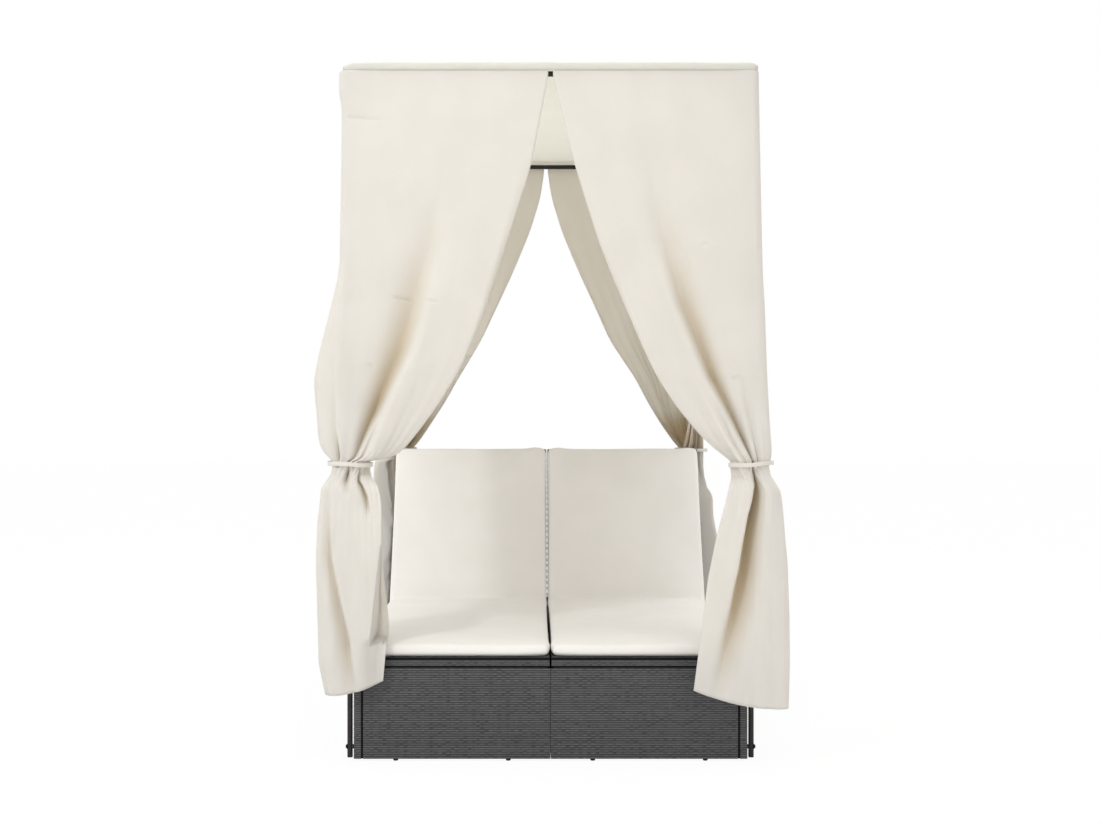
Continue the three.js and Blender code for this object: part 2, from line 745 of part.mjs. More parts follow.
const waistTop = tieHeight + tieWidth / 2 + waistMargin;
const waistBottom = tieHeight - tieWidth / 2 - waistMargin;
const fallTop = topRailHeight - headingDrop;

function headingRow(share, [offsetShare, riseShare]) {
  return { ...railPath(share, curtainOffset * offsetShare), z: topRailHeight + headingRise * riseShare };
}

function upperRow(style, share, fall) {
  const cloth = blend(railPath(share, curtainOffset), bundlePath(share), drawn(style, fall));
  return { ...pushed(cloth, pouch(style, share, fall)), z: THREE.MathUtils.lerp(fallTop, waistTop, fall) };
}

function tailRow(style, share, drop) {
  const spread = (2 * share - 1) ** 2;
  const hem = THREE.MathUtils.lerp(style.hemCorner, style.hemEdge, spread);
  const opening = THREE.MathUtils.smoothstep(drop, ...tailOpeningShares);
  const offset = THREE.MathUtils.lerp(tailOffset, hemOffset, drop);
  const fold = THREE.MathUtils.lerp(tailFold, hemFold, drop) * Math.cos(2 * Math.PI * pleats * share);
  const reach = (distance) => THREE.MathUtils.lerp(tailOffset + tailCornerRadius, distance, Math.sqrt(drop));
  const tail = pushed(tailPath(share, offset, reach(style.endReach), reach(tailReach)), fold);
  return { ...blend(bundlePath(share), tail, opening), z: THREE.MathUtils.lerp(waistBottom, hem, drop) };
}

// The grid of a curtain's middle surface, row by row from the heading to the hem
function curtainRows(style) {
  const shares = Array.from({ length: columns + 1 }, (_, column) => column / columns);
  const rows = headingShares.map((place) => shares.map((share) => headingRow(share, place)));
  for (let row = 0; row <= upperRows; row += 1) {
    const fall = 1 - (1 - row / upperRows) ** fallEasePowerShare;
    rows.push(shares.map((share) => upperRow(style, share, fall)));
  }
  for (let row = 0; row <= tailRows; row += 1) {
    rows.push(shares.map((share) => tailRow(style, share, row / tailRows)));
  }
  return rows.map((row) => row.map(({ p, q, z }) =>
    new THREE.Vector3(style.x * (postX - p), style.y * (postY - q), z)));
}

// Rows lie closer together towards the tie
const fallEasePowerShare = 1.5;

// Unit normals of a grid of points
function gridNormals(rows) {
  return rows.map((row, r) => row.map((_, c) => {
    const down = rows[Math.min(r + 1, rows.length - 1)][c].clone().sub(rows[Math.max(r - 1, 0)][c]);
    const across = row[Math.min(c + 1, row.length - 1)].clone().sub(row[Math.max(c - 1, 0)]);
    return down.cross(across).normalize();
  }));
}

// A sheet of cloth of even thickness about a grid of points
function sheet(rows, thickness) {
  const normals = gridNormals(rows);
  const width = rows[0].length;
  const count = rows.length * width;
  const side = (sign) => rows.flatMap((row, r) => row.map((point, c) =>
    point.clone().addScaledVector(normals[r][c], sign * thickness / 2)));
  const points = [...side(1), ...side(-1)];
  const index = [];
  const quad = (a, b, c, d) => index.push(a, b, c, a, c, d);
  const at = (r, c) => r * width + c;
  for (let r = 0; r + 1 < rows.length; r += 1) {
    for (let c = 0; c + 1 < width; c += 1) {
      quad(at(r, c), at(r + 1, c), at(r + 1, c + 1), at(r, c + 1));
      quad(count + at(r, c), count + at(r, c + 1), count + at(r + 1, c + 1), count + at(r + 1, c));
    }
    const last = width - 1;
    quad(at(r, 0), count + at(r, 0), count + at(r + 1, 0), at(r + 1, 0));
    quad(at(r, last), at(r + 1, last), count + at(r + 1, last), count + at(r, last));
  }
  const bottom = rows.length - 1;
  for (let c = 0; c + 1 < width; c += 1) {
    quad(at(0, c), at(0, c + 1), count + at(0, c + 1), count + at(0, c));
    quad(at(bottom, c), count + at(bottom, c), count + at(bottom, c + 1), at(bottom, c + 1));
  }
  return indexedGeometry(points, index);
}

// The tie closes round the bundle's pleats
function tie() {
  const inner = holeRadius(bundleRadius + bundlePleat + clothThickness / 2, tieSides);
  const low = -tieWidth / 2;
  const high = tieWidth / 2;
  const outer = inner + tieThickness;
  return turned([[inner, low], [outer, low], [outer, high], [inner, high], [inner, low]], tieSides);
}

function addLounger(name, side) {
  const lounger = new THREE.Group();
  lounger.position.x = side * loungerCentreX;
  daybed.add(lounger);
  const facing = (shape, outward) => (outward < 0 ? shape : shape.mirror([1, 0, 0]))
    .translate([outward * halfWidth, 0, 0]);
  addPiece(`${name}_outer_side_panel`, geometryOf(facing(outerSidePanel(), side)), paint.rattan, lounger);
  addPiece(`${name}_inner_side_panel`, geometryOf(facing(innerSidePanel(), -side)), paint.rattan, lounger);
  addPiece(`${name}_front_panel`, geometryOf(endPanel(-1)), paint.rattan, lounger);
  addPiece(`${name}_rear_panel`, geometryOf(endPanel(1)), paint.rattan, lounger);
  addPiece(`${name}_support_bail`, geometryOf(supportBail()), paint.steel, lounger);
  addFeet(name, lounger);
  addHinged(name, lounger);
}

function addFeet(name, lounger) {
  for (const [end, y] of [['front', footDepth - halfLength], ['rear', halfLength - footDepth]]) {
    for (const [place, x] of [['left', -footSpacing / 2], ['right', footSpacing / 2]]) {
      addPiece(`${name}_${end}_${place}_foot`, foot().translate(x, y, 0), paint.plastic, lounger);
    }
  }
}

// Seat, rod and backrest about the hinge's axis, with the backrest group turned up
function addHinged(name, lounger) {
  const axis = new THREE.Group();
  axis.position.set(0, hinge.y, hinge.z);
  const backrest = new THREE.Group();
  backrest.rotation.x = recline;
  axis.add(backrest);
  lounger.add(axis);
  addPiece(`${name}_seat_frame`, geometryOf(seatFrame()), paint.rattan, axis);
  addPiece(`${name}_hinge_rod`, geometryOf(hingeRod()), paint.steel, axis);
  addPiece(`${name}_backrest_frame`, geometryOf(backrestFrame()), paint.rattan, backrest);
  const width = loungerWidth - 2 * cushionInset;
  const seatLength = hingeFromFront - seatPadToHinge - cushionInset;
  const backLength = backrestLength - hingeToBackPad - cushionInset;
  const padZ = halfFrame + fitGap;
  addPiece(`${name}_seat_pad`, cushion(width, seatLength)
    .translate(0, -seatPadToHinge - seatLength / 2, padZ), paint.cushion, axis);
  addPiece(`${name}_back_pad`, cushion(width, backLength)
    .translate(0, hingeToBackPad + backLength / 2, padZ), paint.cushion, backrest);
}

// A solid made for the corner at +X +Y, turned to face its own corner
function atCorner(shape, style) {
  const flipped = style.x < 0 ? shape.mirror([1, 0, 0]) : shape;
  const turnedShape = style.y < 0 ? flipped.mirror([0, 1, 0]) : flipped;
  return turnedShape.translate([style.x * postX, style.y * postY, 0]);
}

function addCorner(style) {
  addPiece(`${style.name}_post`, geometryOf(atCorner(post(), style)), paint.steel);
  for (const [place, z] of [['lower', lowerBoltHeight], ['upper', upperBoltHeight]]) {
    const bolt = atCorner(postBolt().translate([0, 0, z]), style);
    addPiece(`${style.name}_post_${place}_bolt`, geometryOf(bolt), paint.steel);
  }
  const rows = curtainRows(style);
  const outward = style.x * style.y > 0 ? rows : rows.map((row) => [...row].reverse());
  addPiece(`${style.name}_curtain`, sheet(outward, clothThickness), paint.curtain);
  const place = [style.x * postX, style.y * postY, tieHeight];
  addPiece(`${style.name}_tie`, tie().translate(...place), paint.curtain);
}

function addJoiningBolts() {
  const reach = halfLength - joinerFromEnd;
  for (const [end, y] of [['front', -reach], ['rear', reach]]) {
    for (const [place, z] of [['low', joinerLowHeight], ['high', joinerHighHeight]]) {
      addPiece(`${end}_${place}_joining_bolt`, geometryOf(joiningBolt().translate([0, y, z])), paint.steel);
    }
  }
}

function addCanopy() {
  for (const [name, sign] of [['front', -1], ['rear', 1]]) {
    const rail = topRail(postX, [1, 0, 0]).translate([0, sign * postY, 0]);
    addPiece(`${name}_top_rail`, geometryOf(rail), paint.steel);
  }
  for (const [name, sign] of [['left', -1], ['right', 1]]) {
    const rail = topRail(postY, [0, 1, 0]).translate([sign * postX, 0, 0]);
    addPiece(`${name}_top_rail`, geometryOf(rail), paint.steel);
  }
  addPiece('roof_cloth', roof(), paint.curtain);
}

addLounger('left', -1);
addLounger('right', 1);
addJoiningBolts();
curtainStyles.forEach(addCorner);
addCanopy();

export default daybed;
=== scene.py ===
# Outdoor daybed with canopy: two woven loungers with pads, a canopy frame of steel tube,
# a roof cloth and four tied corner curtains.
# Shapes are worked out in millimetres and placed in metres, +Z up, front towards -Y.

import math

import bmesh
import bpy
import numpy as np
from mathutils import Matrix, Vector


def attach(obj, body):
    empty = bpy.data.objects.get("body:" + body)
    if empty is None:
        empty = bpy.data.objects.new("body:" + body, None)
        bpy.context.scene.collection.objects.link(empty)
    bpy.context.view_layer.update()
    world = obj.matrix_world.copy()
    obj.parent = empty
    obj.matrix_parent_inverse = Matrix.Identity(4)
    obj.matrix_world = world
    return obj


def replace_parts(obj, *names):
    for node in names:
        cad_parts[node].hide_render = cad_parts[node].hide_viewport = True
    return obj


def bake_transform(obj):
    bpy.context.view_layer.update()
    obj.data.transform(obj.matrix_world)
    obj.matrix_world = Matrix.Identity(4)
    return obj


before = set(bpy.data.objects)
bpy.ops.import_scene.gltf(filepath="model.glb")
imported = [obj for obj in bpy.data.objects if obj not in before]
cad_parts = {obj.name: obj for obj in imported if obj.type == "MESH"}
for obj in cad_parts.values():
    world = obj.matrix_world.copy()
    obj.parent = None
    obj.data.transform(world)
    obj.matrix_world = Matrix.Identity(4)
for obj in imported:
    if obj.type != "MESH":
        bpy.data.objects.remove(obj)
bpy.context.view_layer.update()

MM = 0.001
SIDES = (("left", -1), ("right", 1))
ENDS = (("front", -1), ("rear", 1))
CORNERS = {"front_left": (-1, -1), "front_right": (1, -1), "rear_left": (-1, 1), "rear_right": (1, 1)}

# Sizes of the daybed in millimetres
LOUNGER_WIDTH = 568
HALF_LOUNGER = LOUNGER_WIDTH / 2
HALF_GAP = 3
LOUNGER_X = HALF_GAP + HALF_LOUNGER
BASE_HALF_WIDTH = HALF_GAP + LOUNGER_WIDTH
BASE_HALF_LENGTH = 930
PANEL_BOTTOM = 7
PANEL_HEIGHT = 263
PANEL_REACH = 545
COLUMN_WIDTH = 20
FRAME_BOTTOM = 274
SEAT_SIDE_LENGTH = 1182
HINGE_Y = 270
HINGE_Z = 288
RECLINE = math.radians(62)
BACKREST_LENGTH = 655
BACK_EDGE_BOTTOM, BACK_EDGE_HEIGHT = -14, 28
DECK_HALF_WIDTH = 264
POST_X = BASE_HALF_WIDTH + 13
POST_Y = BASE_HALF_LENGTH - 12
RAIL_Z = 2000
TUBE_RADIUS = 8
TIE_Z = 864
STRAND_PITCH = 6.5
STAKE_PITCH = 12.5
YARN_PITCH = 1.2


# Camera

def aim_camera():
    """Camera at the height of the pads' upper half, looking straight along the loungers from the foot end."""
    lens = bpy.data.cameras.new("front_view")
    lens.lens = 54.1
    lens.shift_x = 0.0145
    camera = bpy.data.objects.new("front_view", lens)
    camera.location = (-0.048, -5.734, 1.015)
    camera.rotation_euler = (math.radians(90), 0, 0)
    bpy.context.scene.collection.objects.link(camera)
    bpy.context.scene.camera = camera


# Node and colour helpers

def linear(code):
    """Linear colour of an sRGB hex value."""
    parts = [int(code[place:place + 2], 16) / 255 for place in (0, 2, 4)]
    return (*[c / 12.92 if c <= 0.04045 else ((c + 0.055) / 1.055) ** 2.4 for c in parts], 1)


def add(tree, kind, inputs=None, stops=None, **settings):
    """Node of a kind with its settings, its colour stops as (place, hex value), and for each input
    a value, the socket that feeds it, or the node whose first output feeds it."""
    node = tree.nodes.new("ShaderNode" + kind)
    for name, value in settings.items():
        setattr(node, name, value)
    for name, value in (inputs or {}).items():
        if isinstance(value, bpy.types.Node):
            value = value.outputs[0]
        if isinstance(value, bpy.types.NodeSocket):
            tree.links.new(value, node.inputs[name])
        else:
            node.inputs[name].default_value = value
    for number, (place, code) in enumerate(stops or []):
        ramp = node.color_ramp.elements
        element = ramp[number] if number < 2 else ramp.new(place)
        element.position = place
        element.color = linear(code)
    return node


def new_material(name):
    material = bpy.data.materials.new(name)
    material.use_nodes = True
    material.node_tree.nodes.clear()
    return material, material.node_tree


def finish_material(tree, shader):
    add(tree, "OutputMaterial", {"Surface": shader})


# Materials

def speckled_colour(tree, scale, detail, *stops):
    """Colour that runs between tones with a noise on the piece's own coordinates. Gives the noise
    and the coordinates too."""
    place = add(tree, "TexCoord").outputs["Object"]
    noise = add(tree, "TexNoise", {"Vector": place, "Scale": scale, "Detail": detail})
    return add(tree, "ValToRGB", {"Fac": noise}, stops), noise, place


def woven_strand_material():
    """Extruded polyethylene strand, woven by hand: satin dark grey, with painted shade darker down between
    the strands.
    """
    material, tree = new_material("woven_poly_rattan")
    place = add(tree, "TexCoord").outputs["Object"]
    # strands of 6.5 mm differ a little in tone over runs of about 60 mm
    run = add(tree, "Mapping", {"Vector": place, "Scale": (16, 16, 154)})
    tone = add(tree, "TexNoise", {"Vector": run, "Scale": 1.0, "Detail": 2.0})
    # painted shade: the colour follows the weave's height, darker down between strands and where one dips
    # under another
    height = add(tree, "Attribute", attribute_name="height").outputs["Fac"]
    lit = add(tree, "MapRange", {"Value": tone, "To Min": -0.12, "To Max": 0.12})
    level = add(tree, "Math", {0: height, 1: lit}, operation="ADD")
    tones = (0.15, "19191b"), (0.62, "39393b"), (1.0, "58585a")
    colour = add(tree, "ValToRGB", {"Fac": level}, tones)
    # drawn grain of the extruded strand, about 0.8 mm wide
    grain = add(tree, "TexNoise", {"Vector": place, "Scale": 1200.0, "Detail": 1.0})
    bump = add(tree, "Bump", {"Height": grain, "Strength": 0.12, "Distance": 0.0004})
    rough = add(tree, "MapRange", {"Value": tone, "To Min": 0.38, "To Max": 0.56})
    finish_material(tree, add(tree, "BsdfPrincipled", {
        "Base Color": colour, "Roughness": rough, "Normal": bump, "IOR": 1.51}))
    return material


def woven_panel_material():
    """The same strand where it lies in shade, on the frame members and the insides of the panels."""
    material, tree = new_material("woven_poly_rattan_panel")
    place = add(tree, "TexCoord").outputs["Object"]
    axes = add(tree, "SeparateXYZ", {0: place})
    along = add(tree, "Math", {0: axes.outputs[0], 1: axes.outputs[1]}, operation="ADD")
    flat = add(tree, "CombineXYZ", {0: along, 1: axes.outputs[2]})
    # bricks of one strand width by two stakes, as in a plain weave
    weave = add(tree, "TexBrick", {
        "Vector": flat, "Scale": 1.0, "Color1": linear("4e4e50"), "Color2": linear("434345"),
        "Mortar": linear("1f1f21"), "Mortar Size": 0.0009, "Mortar Smooth": 0.6,
        "Brick Width": 2 * STAKE_PITCH * MM, "Row Height": STRAND_PITCH * MM})
    tone = add(tree, "TexNoise", {"Vector": place, "Scale": 30.0, "Detail": 3.0})
    shade = add(tree, "MapRange", {"Value": tone, "To Min": 0.82, "To Max": 1.12})
    colour = add(tree, "Mix", {0: 1.0, 6: weave.outputs["Color"], 7: shade},
                 data_type="RGBA", blend_type="MULTIPLY").outputs[2]
    bump = add(tree, "Bump", {"Height": weave.outputs["Fac"], "Strength": 0.5, "Distance": 0.0012},
               invert=True)
    finish_material(tree, add(tree, "BsdfPrincipled", {
        "Base Color": colour, "Roughness": 0.5, "Normal": bump, "IOR": 1.51}))
    return material


def powder_coat_material():
    """Steel tube, powder coated black-brown: a satin coat with a fine orange-peel skin and some dust."""
    material, tree = new_material("powder_coated_steel")
    # dust lies in patches of about 55 mm, and the orange peel is drawn about 2 mm across, coarser
    # than the 1 mm of a real coat, so that it shows
    colour, dust, place = speckled_colour(tree, 18.0, 4.0, (0.3, "1c1919"), (0.75, "272323"))
    peel = add(tree, "TexNoise", {"Vector": place, "Scale": 450.0, "Detail": 2.0})
    rough = add(tree, "MapRange", {"Value": dust, "To Min": 0.34, "To Max": 0.52})
    bump = add(tree, "Bump", {"Height": peel, "Strength": 0.15, "Distance": 0.0003})
    finish_material(tree, add(tree, "BsdfPrincipled", {
        "Base Color": colour, "Roughness": rough, "Normal": bump, "IOR": 1.5,
        "Specular IOR Level": 0.3}))
    return material


def painted_shadow_strip_material():
    """Matt near-black with a faint uneven weave, for strips that paint shadow lines: in the gaps of the base,
    and under the seat pads' front edges, where a dark steel edge shows too.
    """
    material, tree = new_material("black_painted_shadow_strip")
    # a weave of about 1.4 mm
    colour, fuzz, _ = speckled_colour(tree, 700.0, 2.0, (0.3, "101011"), (0.8, "1d1d1e"))
    bump = add(tree, "Bump", {"Height": fuzz, "Strength": 0.3, "Distance": 0.0003})
    finish_material(tree, add(tree, "BsdfPrincipled", {
        "Base Color": colour, "Roughness": 0.9, "Normal": bump, "IOR": 1.5,
        "Specular IOR Level": 0.08}))
    return material


def zinc_bolt_material():
    """Blackened zinc-plated steel of bolts and rods: dark metal with rubbed, slightly lighter patches."""
    material, tree = new_material("blackened_zinc_plated_steel")
    # rubbed patches about 4 mm across
    colour, rub, _ = speckled_colour(tree, 260.0, 3.0, (0.35, "2b2b2d"), (0.8, "55555a"))
    rough = add(tree, "MapRange", {"Value": rub, "To Min": 0.3, "To Max": 0.5})
    finish_material(tree, add(tree, "BsdfPrincipled", {
        "Base Color": colour, "Roughness": rough, "Metallic": 0.85}))
    return material


def foot_material():
    """Moulded polypropylene: near-black with a fine spark-eroded grain."""
    material, tree = new_material("moulded_polypropylene")
    # grain of about 1 mm, coarser than the real one, so that it shows
    colour, grain, _ = speckled_colour(tree, 900.0, 2.0, (0.3, "1b1b1c"), (0.8, "2a2a2b"))
    bump = add(tree, "Bump", {"Height": grain, "Strength": 0.2, "Distance": 0.0003})
    finish_material(tree, add(tree, "BsdfPrincipled", {
        "Base Color": colour, "Roughness": 0.58, "Normal": bump, "IOR": 1.49}))
    return material


def yarn_bands(tree, place):
    """Crossing yarns of a plain weave, high where one lies over another."""
    scale = math.pi / (10 * YARN_PITCH * MM)
    warp = add(tree, "TexWave", {"Vector": place, "Scale": scale}, bands_direction="X").outputs["Fac"]
    weft = add(tree, "TexWave", {"Vector": place, "Scale": scale}, bands_direction="Y").outputs["Fac"]
    return add(tree, "Math", {0: warp, 1: weft}, operation="MULTIPLY")


def cloth_material(name, pale, deep, slub, translucent, inside):
    """Plain-woven polyester cloth: matt, faintly uneven in tone, lit through from behind, and with painted
    shade in its folds.
    """
    material, tree = new_material(name)
    cloth = add(tree, "UVMap", uv_map="cloth")
    # tone drifts over about 150 mm, and thicker yarns run across as short slubs of about 30 by 1.5 mm
    drift = add(tree, "TexNoise", {"Vector": cloth, "Scale": 6.5, "Detail": 3.0})
    yarns = add(tree, "Mapping", {"Vector": cloth, "Scale": (33, 650, 1)})
    slubs = add(tree, "TexNoise", {"Vector": yarns, "Scale": 1.0, "Detail": 1.0})
    tone = add(tree, "Mix", {0: slub, 2: drift, 3: slubs})
    colour = add(tree, "ValToRGB", {"Fac": tone}, stops=[(0.3, deep), (0.7, pale)])
    # painted shade: down in a fold the colour is mixed towards tan, standing in for the fold's shade and the
    # light the cloth throws on itself
    painted_fold_shade = add(tree, "Attribute", attribute_name="painted_fold_shade").outputs["Fac"]
    colour = add(tree, "Mix", {0: painted_fold_shade, 6: colour, 7: linear("dccdb0")}, data_type="RGBA").outputs[2]
    relief = add(tree, "Mix", {0: 0.35, 2: yarn_bands(tree, cloth), 3: slubs})
    bump = add(tree, "Bump", {"Height": relief, "Strength": 0.35, "Distance": 0.0004})
    face = add(tree, "BsdfPrincipled", {
        "Base Color": colour, "Roughness": 0.88, "Normal": bump, "IOR": 1.45,
        "Specular IOR Level": 0.25, "Sheen Weight": 0.12, "Sheen Roughness": 0.5})
    # light that comes through the weave is warmer
    warm = add(tree, "Mix", {0: 1.0, 6: colour, 7: linear(inside)}, data_type="RGBA",
               blend_type="MULTIPLY").outputs[2]
    through = add(tree, "BsdfTranslucent", {"Color": warm, "Normal": bump})
    finish_material(tree, add(tree, "MixShader", {0: translucent, 1: face, 2: through}))
    return material


def pad_material():
    """Woven polyester pad cover: off-white, matt, its yarns along and across the lounger."""
    material, tree = new_material("woven_polyester_pad_cover")
    # tone drifts over about 140 mm, and the yarns are uneven over about 3 mm
    colour, _, place = speckled_colour(tree, 7.0, 3.0, (0.3, "e7e4df"), (0.7, "ebe8e4"))
    fuzz = add(tree, "TexNoise", {"Vector": place, "Scale": 320.0, "Detail": 2.0})
    relief = add(tree, "Mix", {0: 0.5, 2: yarn_bands(tree, place), 3: fuzz})
    bump = add(tree, "Bump", {"Height": relief, "Strength": 0.3, "Distance": 0.0005})
    finish_material(tree, add(tree, "BsdfPrincipled", {
        "Base Color": colour, "Roughness": 0.9, "Normal": bump, "IOR": 1.45,
        "Specular IOR Level": 0.25, "Sheen Weight": 0.15, "Sheen Roughness": 0.5}))
    return material


# Mesh helpers

def piece(mesh, material, body="base"):
    """Object for a mesh, under the mesh's name and in its material, that rides on a body."""
    thing = bpy.data.objects.new(mesh.name, mesh)
    bpy.context.scene.collection.objects.link(thing)
    mesh.materials.append(material)
    if body:
        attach(thing, body)
    return thing


def mesh_from(bm, name):
    mesh = bpy.data.meshes.new(name)
    bm.to_mesh(mesh)
    bm.free()
    mesh.shade_smooth()
    return mesh


def edged_piece(bm, node, part, material, body="base", sharp=40):
    """Piece in place of a CAD node, shaded smooth with its sharper edges kept."""
    mesh = mesh_from(bm, f"{node}_{part}")
    mesh.set_sharp_from_angle(angle=math.radians(sharp))
    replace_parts(piece(mesh, material, body), node)


def coordinates(mesh):
    values = np.empty(len(mesh.vertices) * 3)
    mesh.vertices.foreach_get("co", values)
    return values.reshape(-1, 3)


def set_coordinates(mesh, values):
    mesh.vertices.foreach_set("co", np.ascontiguousarray(values, dtype=float).ravel())
    mesh.update()


def grid_mesh(name, points, flat=None, layer=None):
    """Mesh of rows of points in millimetres. Where given, flat maps the cloth in metres,
    and layer is the name and the values of what the material reads at each point."""
    rows, columns = points.shape[0] - 1, points.shape[1] - 1
    bm = bmesh.new()
    bmesh.ops.create_grid(bm, x_segments=columns, y_segments=rows, size=1)
    mesh = mesh_from(bm, name)
    place = coordinates(mesh)
    shares = (place - place.min(0)) / np.maximum(np.ptp(place, axis=0), 1e-9)
    column = np.rint(shares[:, 0] * columns).astype(int)
    row = np.rint((1 - shares[:, 1]) * rows).astype(int)
    set_coordinates(mesh, points[row, column] * MM)
    if flat:
        corners = np.empty(len(mesh.loops), dtype=np.int32)
        mesh.loops.foreach_get("vertex_index", corners)
        spread = shares[:, :2] * flat
        mesh.uv_layers.new(name="cloth").uv.foreach_set("vector", spread[corners].ravel())
    if layer:
        layer_name, values = layer
        data = mesh.attributes.new(layer_name, "FLOAT", "POINT").data
        data.foreach_set("value", values[row, column].astype(np.float32))
    return mesh


def face_towards(mesh, outward):
    """Turns a sheet's faces so that they point the given way on the whole."""
    normals = np.empty(len(mesh.polygons) * 3)
    mesh.polygons.foreach_get("normal", normals)
    if normals.reshape(-1, 3).sum(0) @ np.array(outward) < 0:
        mesh.flip_normals()


def thicken(thing, thickness):
    """Gives a sheet its wall, half to each side."""
    wall = thing.modifiers.new("cloth_thickness", "SOLIDIFY")
    wall.thickness = thickness * MM
    wall.offset = 0
    wall.use_rim = True
    return thing


def turned_matrix(start, end):
    """Matrix that takes an upright shape of length 1 about its middle to the stretch between two points."""
    start, end = Vector(start), Vector(end)
    along = end - start
    turn = along.to_track_quat("Z", "Y").to_matrix().to_4x4()
    return Matrix.Translation((start + end) / 2) @ turn @ Matrix.Diagonal((1, 1, along.length, 1))


def add_bar(bm, start, end, radius, segments=24, edge=0.0):
    """Round bar between two points in millimetres, with its end edges rounded over."""
    made = bmesh.ops.create_cone(
        bm, cap_ends=True, cap_tris=False, segments=segments, radius1=radius * MM, radius2=radius * MM,
        depth=1, matrix=turned_matrix(Vector(start) * MM, Vector(end) * MM))["verts"]
    if edge:
        made = set(made)
        rims = [e for e in bm.edges if e.verts[0] in made and e.verts[1] in made
                and any(len(f.verts) > 4 for f in e.link_faces)]
        bmesh.ops.bevel(bm, geom=rims, offset=edge * MM, offset_type="OFFSET", segments=2, profile=0.5,
                        affect="EDGES", material=-1)


def add_ball(bm, centre, radius):
    bmesh.ops.create_uvsphere(bm, u_segments=24, v_segments=14, radius=radius * MM,
                              matrix=Matrix.Translation(Vector(centre) * MM))


# Curtains

# A curtain's share runs round its corner, from 0 at its edge on the front or rear rail to 1 at its edge on
# the side rail. A station runs down it: 0 is the rail, 1 the tie and 2 the hem. A path is the cloth's places
# inwards from the post, across (p) and along the bed (q), and the outward normal there. FLARE and POUCH are
# the middle and the width, in shares, of where the cloth stands out beside the post.

ROWS_HEADING, ROWS_UPPER, ROWS_WAIST, ROWS_TAIL = 8, 130, 3, 76
CURTAIN_COLUMNS = 200
CLOTH_THICKNESS = 1.2
CURTAIN_FLAT = (1.49, 1.85)
PLEATS = 19
HEADING_REACH, HEADING_RISE = 22, 9.8
HEADING_BOTTOM = 1993
UPPER_TOP, UPPER_BOTTOM = 1986, 872
WAIST_TOP, WAIST_BOTTOM = 869, 859
TAIL_TOP = 856
TAIL_CORNER = 34
BESIDE_BASE = 345
EDGE_FROM_MIDDLE = 7
BUNDLE_RADIUS = 54
FLARE = (0.56, 0.06)
POUCH = (0.64, 0.15)
GATHER_STATIONS = (0, 0.35, 0.6, 0.8, 0.92, 1.0, 1.03, 1.12, 1.35, 2.0)
TUCK_STATIONS = (0.5, 0.8, 1.0, 1.12, 1.4, 2.0)


def smoothstep(low, high, value):
    share = np.clip((value - low) / (high - low), 0, 1)
    return share * share * (3 - 2 * share)


def lerp(a, b, share):
    return a + (b - a) * share


def bell(value, centre, width):
    return np.exp(-((value - centre) / width) ** 2)


def curve(table, station, spread=0.03):
    """Smoothed reading of a table of (station, value)."""
    stations, values = zip(*table)
    room = min(1, 20 * max(station - stations[0], 0), 20 * max(stations[-1] - station, 0))
    places = station + spread * room * np.linspace(-1, 1, 9)
    return float(np.mean(np.interp(places, stations, values)))


def rail_path(share, offset):
    """Cloth under the rails: 7 parts in 16 along each rail, and 2 round the post."""
    part = share * 16
    turn = np.clip((part - 7) / 2, 0, 1) * math.pi / 2
    normal_p, normal_q = -np.sin(turn), -np.cos(turn)
    p = np.where(part <= 7, (POST_X - EDGE_FROM_MIDDLE) * (1 - part / 7), offset * normal_p)
    q = np.where(part >= 9, (POST_Y - EDGE_FROM_MIDDLE) * (part - 9) / 7, offset * normal_q)
    return p, q, normal_p, normal_q


def bundle_path(share, wrap):
    """Cloth gathered round the post over the given angle in degrees."""
    angle = (0.5 - share) * math.radians(wrap) - math.pi * 3 / 4
    radius = BUNDLE_RADIUS + 7 * np.cos(8 * math.pi * share)
    return radius * np.cos(angle), radius * np.sin(angle), np.cos(angle), np.sin(angle)


def tail_path(share, offset, end_reach, side_reach):
    """Cloth hanging round the outside of the base's corner."""
    end_run, side_run = end_reach + offset - TAIL_CORNER, side_reach + offset - TAIL_CORNER
    bend = TAIL_CORNER * math.pi / 2
    along = share * (end_run + bend + side_run)
    turn = np.clip((along - end_run) / TAIL_CORNER, 0, math.pi / 2)
    normal_p, normal_q = -np.sin(turn), -np.cos(turn)
    centre = TAIL_CORNER - offset
    p = np.where(along <= end_run, end_reach - along, centre + TAIL_CORNER * normal_p)
    q = np.where(along >= end_run + bend, along - end_run - bend + centre, centre + TAIL_CORNER * normal_q)
    return p, q, normal_p, normal_q


def mixed(a, b, share):
    """Path part of the way from one to another."""
    return tuple(lerp(x, y, share) for x, y in zip(a, b))


def pushed(path, distance):
    """Path moved outwards by a distance."""
    p, q, normal_p, normal_q = path
    length = np.hypot(normal_p, normal_q)
    return p + distance * normal_p / length, q + distance * normal_q / length, normal_p, normal_q


def fold_depth(style, share, station):
    """Inward push of the folds at a station. Each fold is a table of (station, its share, depth,
    width before it, width behind it)."""
    depth = np.zeros_like(share)
    for fold in style["folds"]:
        stations, *columns = np.array(fold, dtype=float).T
        if stations[0] <= station <= stations[-1]:
            place, deep, before, behind = (np.interp(station, stations, column) for column in columns)
            width = np.where(share < place, before, behind)
            depth = depth + deep * np.exp(-np.abs((share - place) / width) ** 1.7)
    return depth


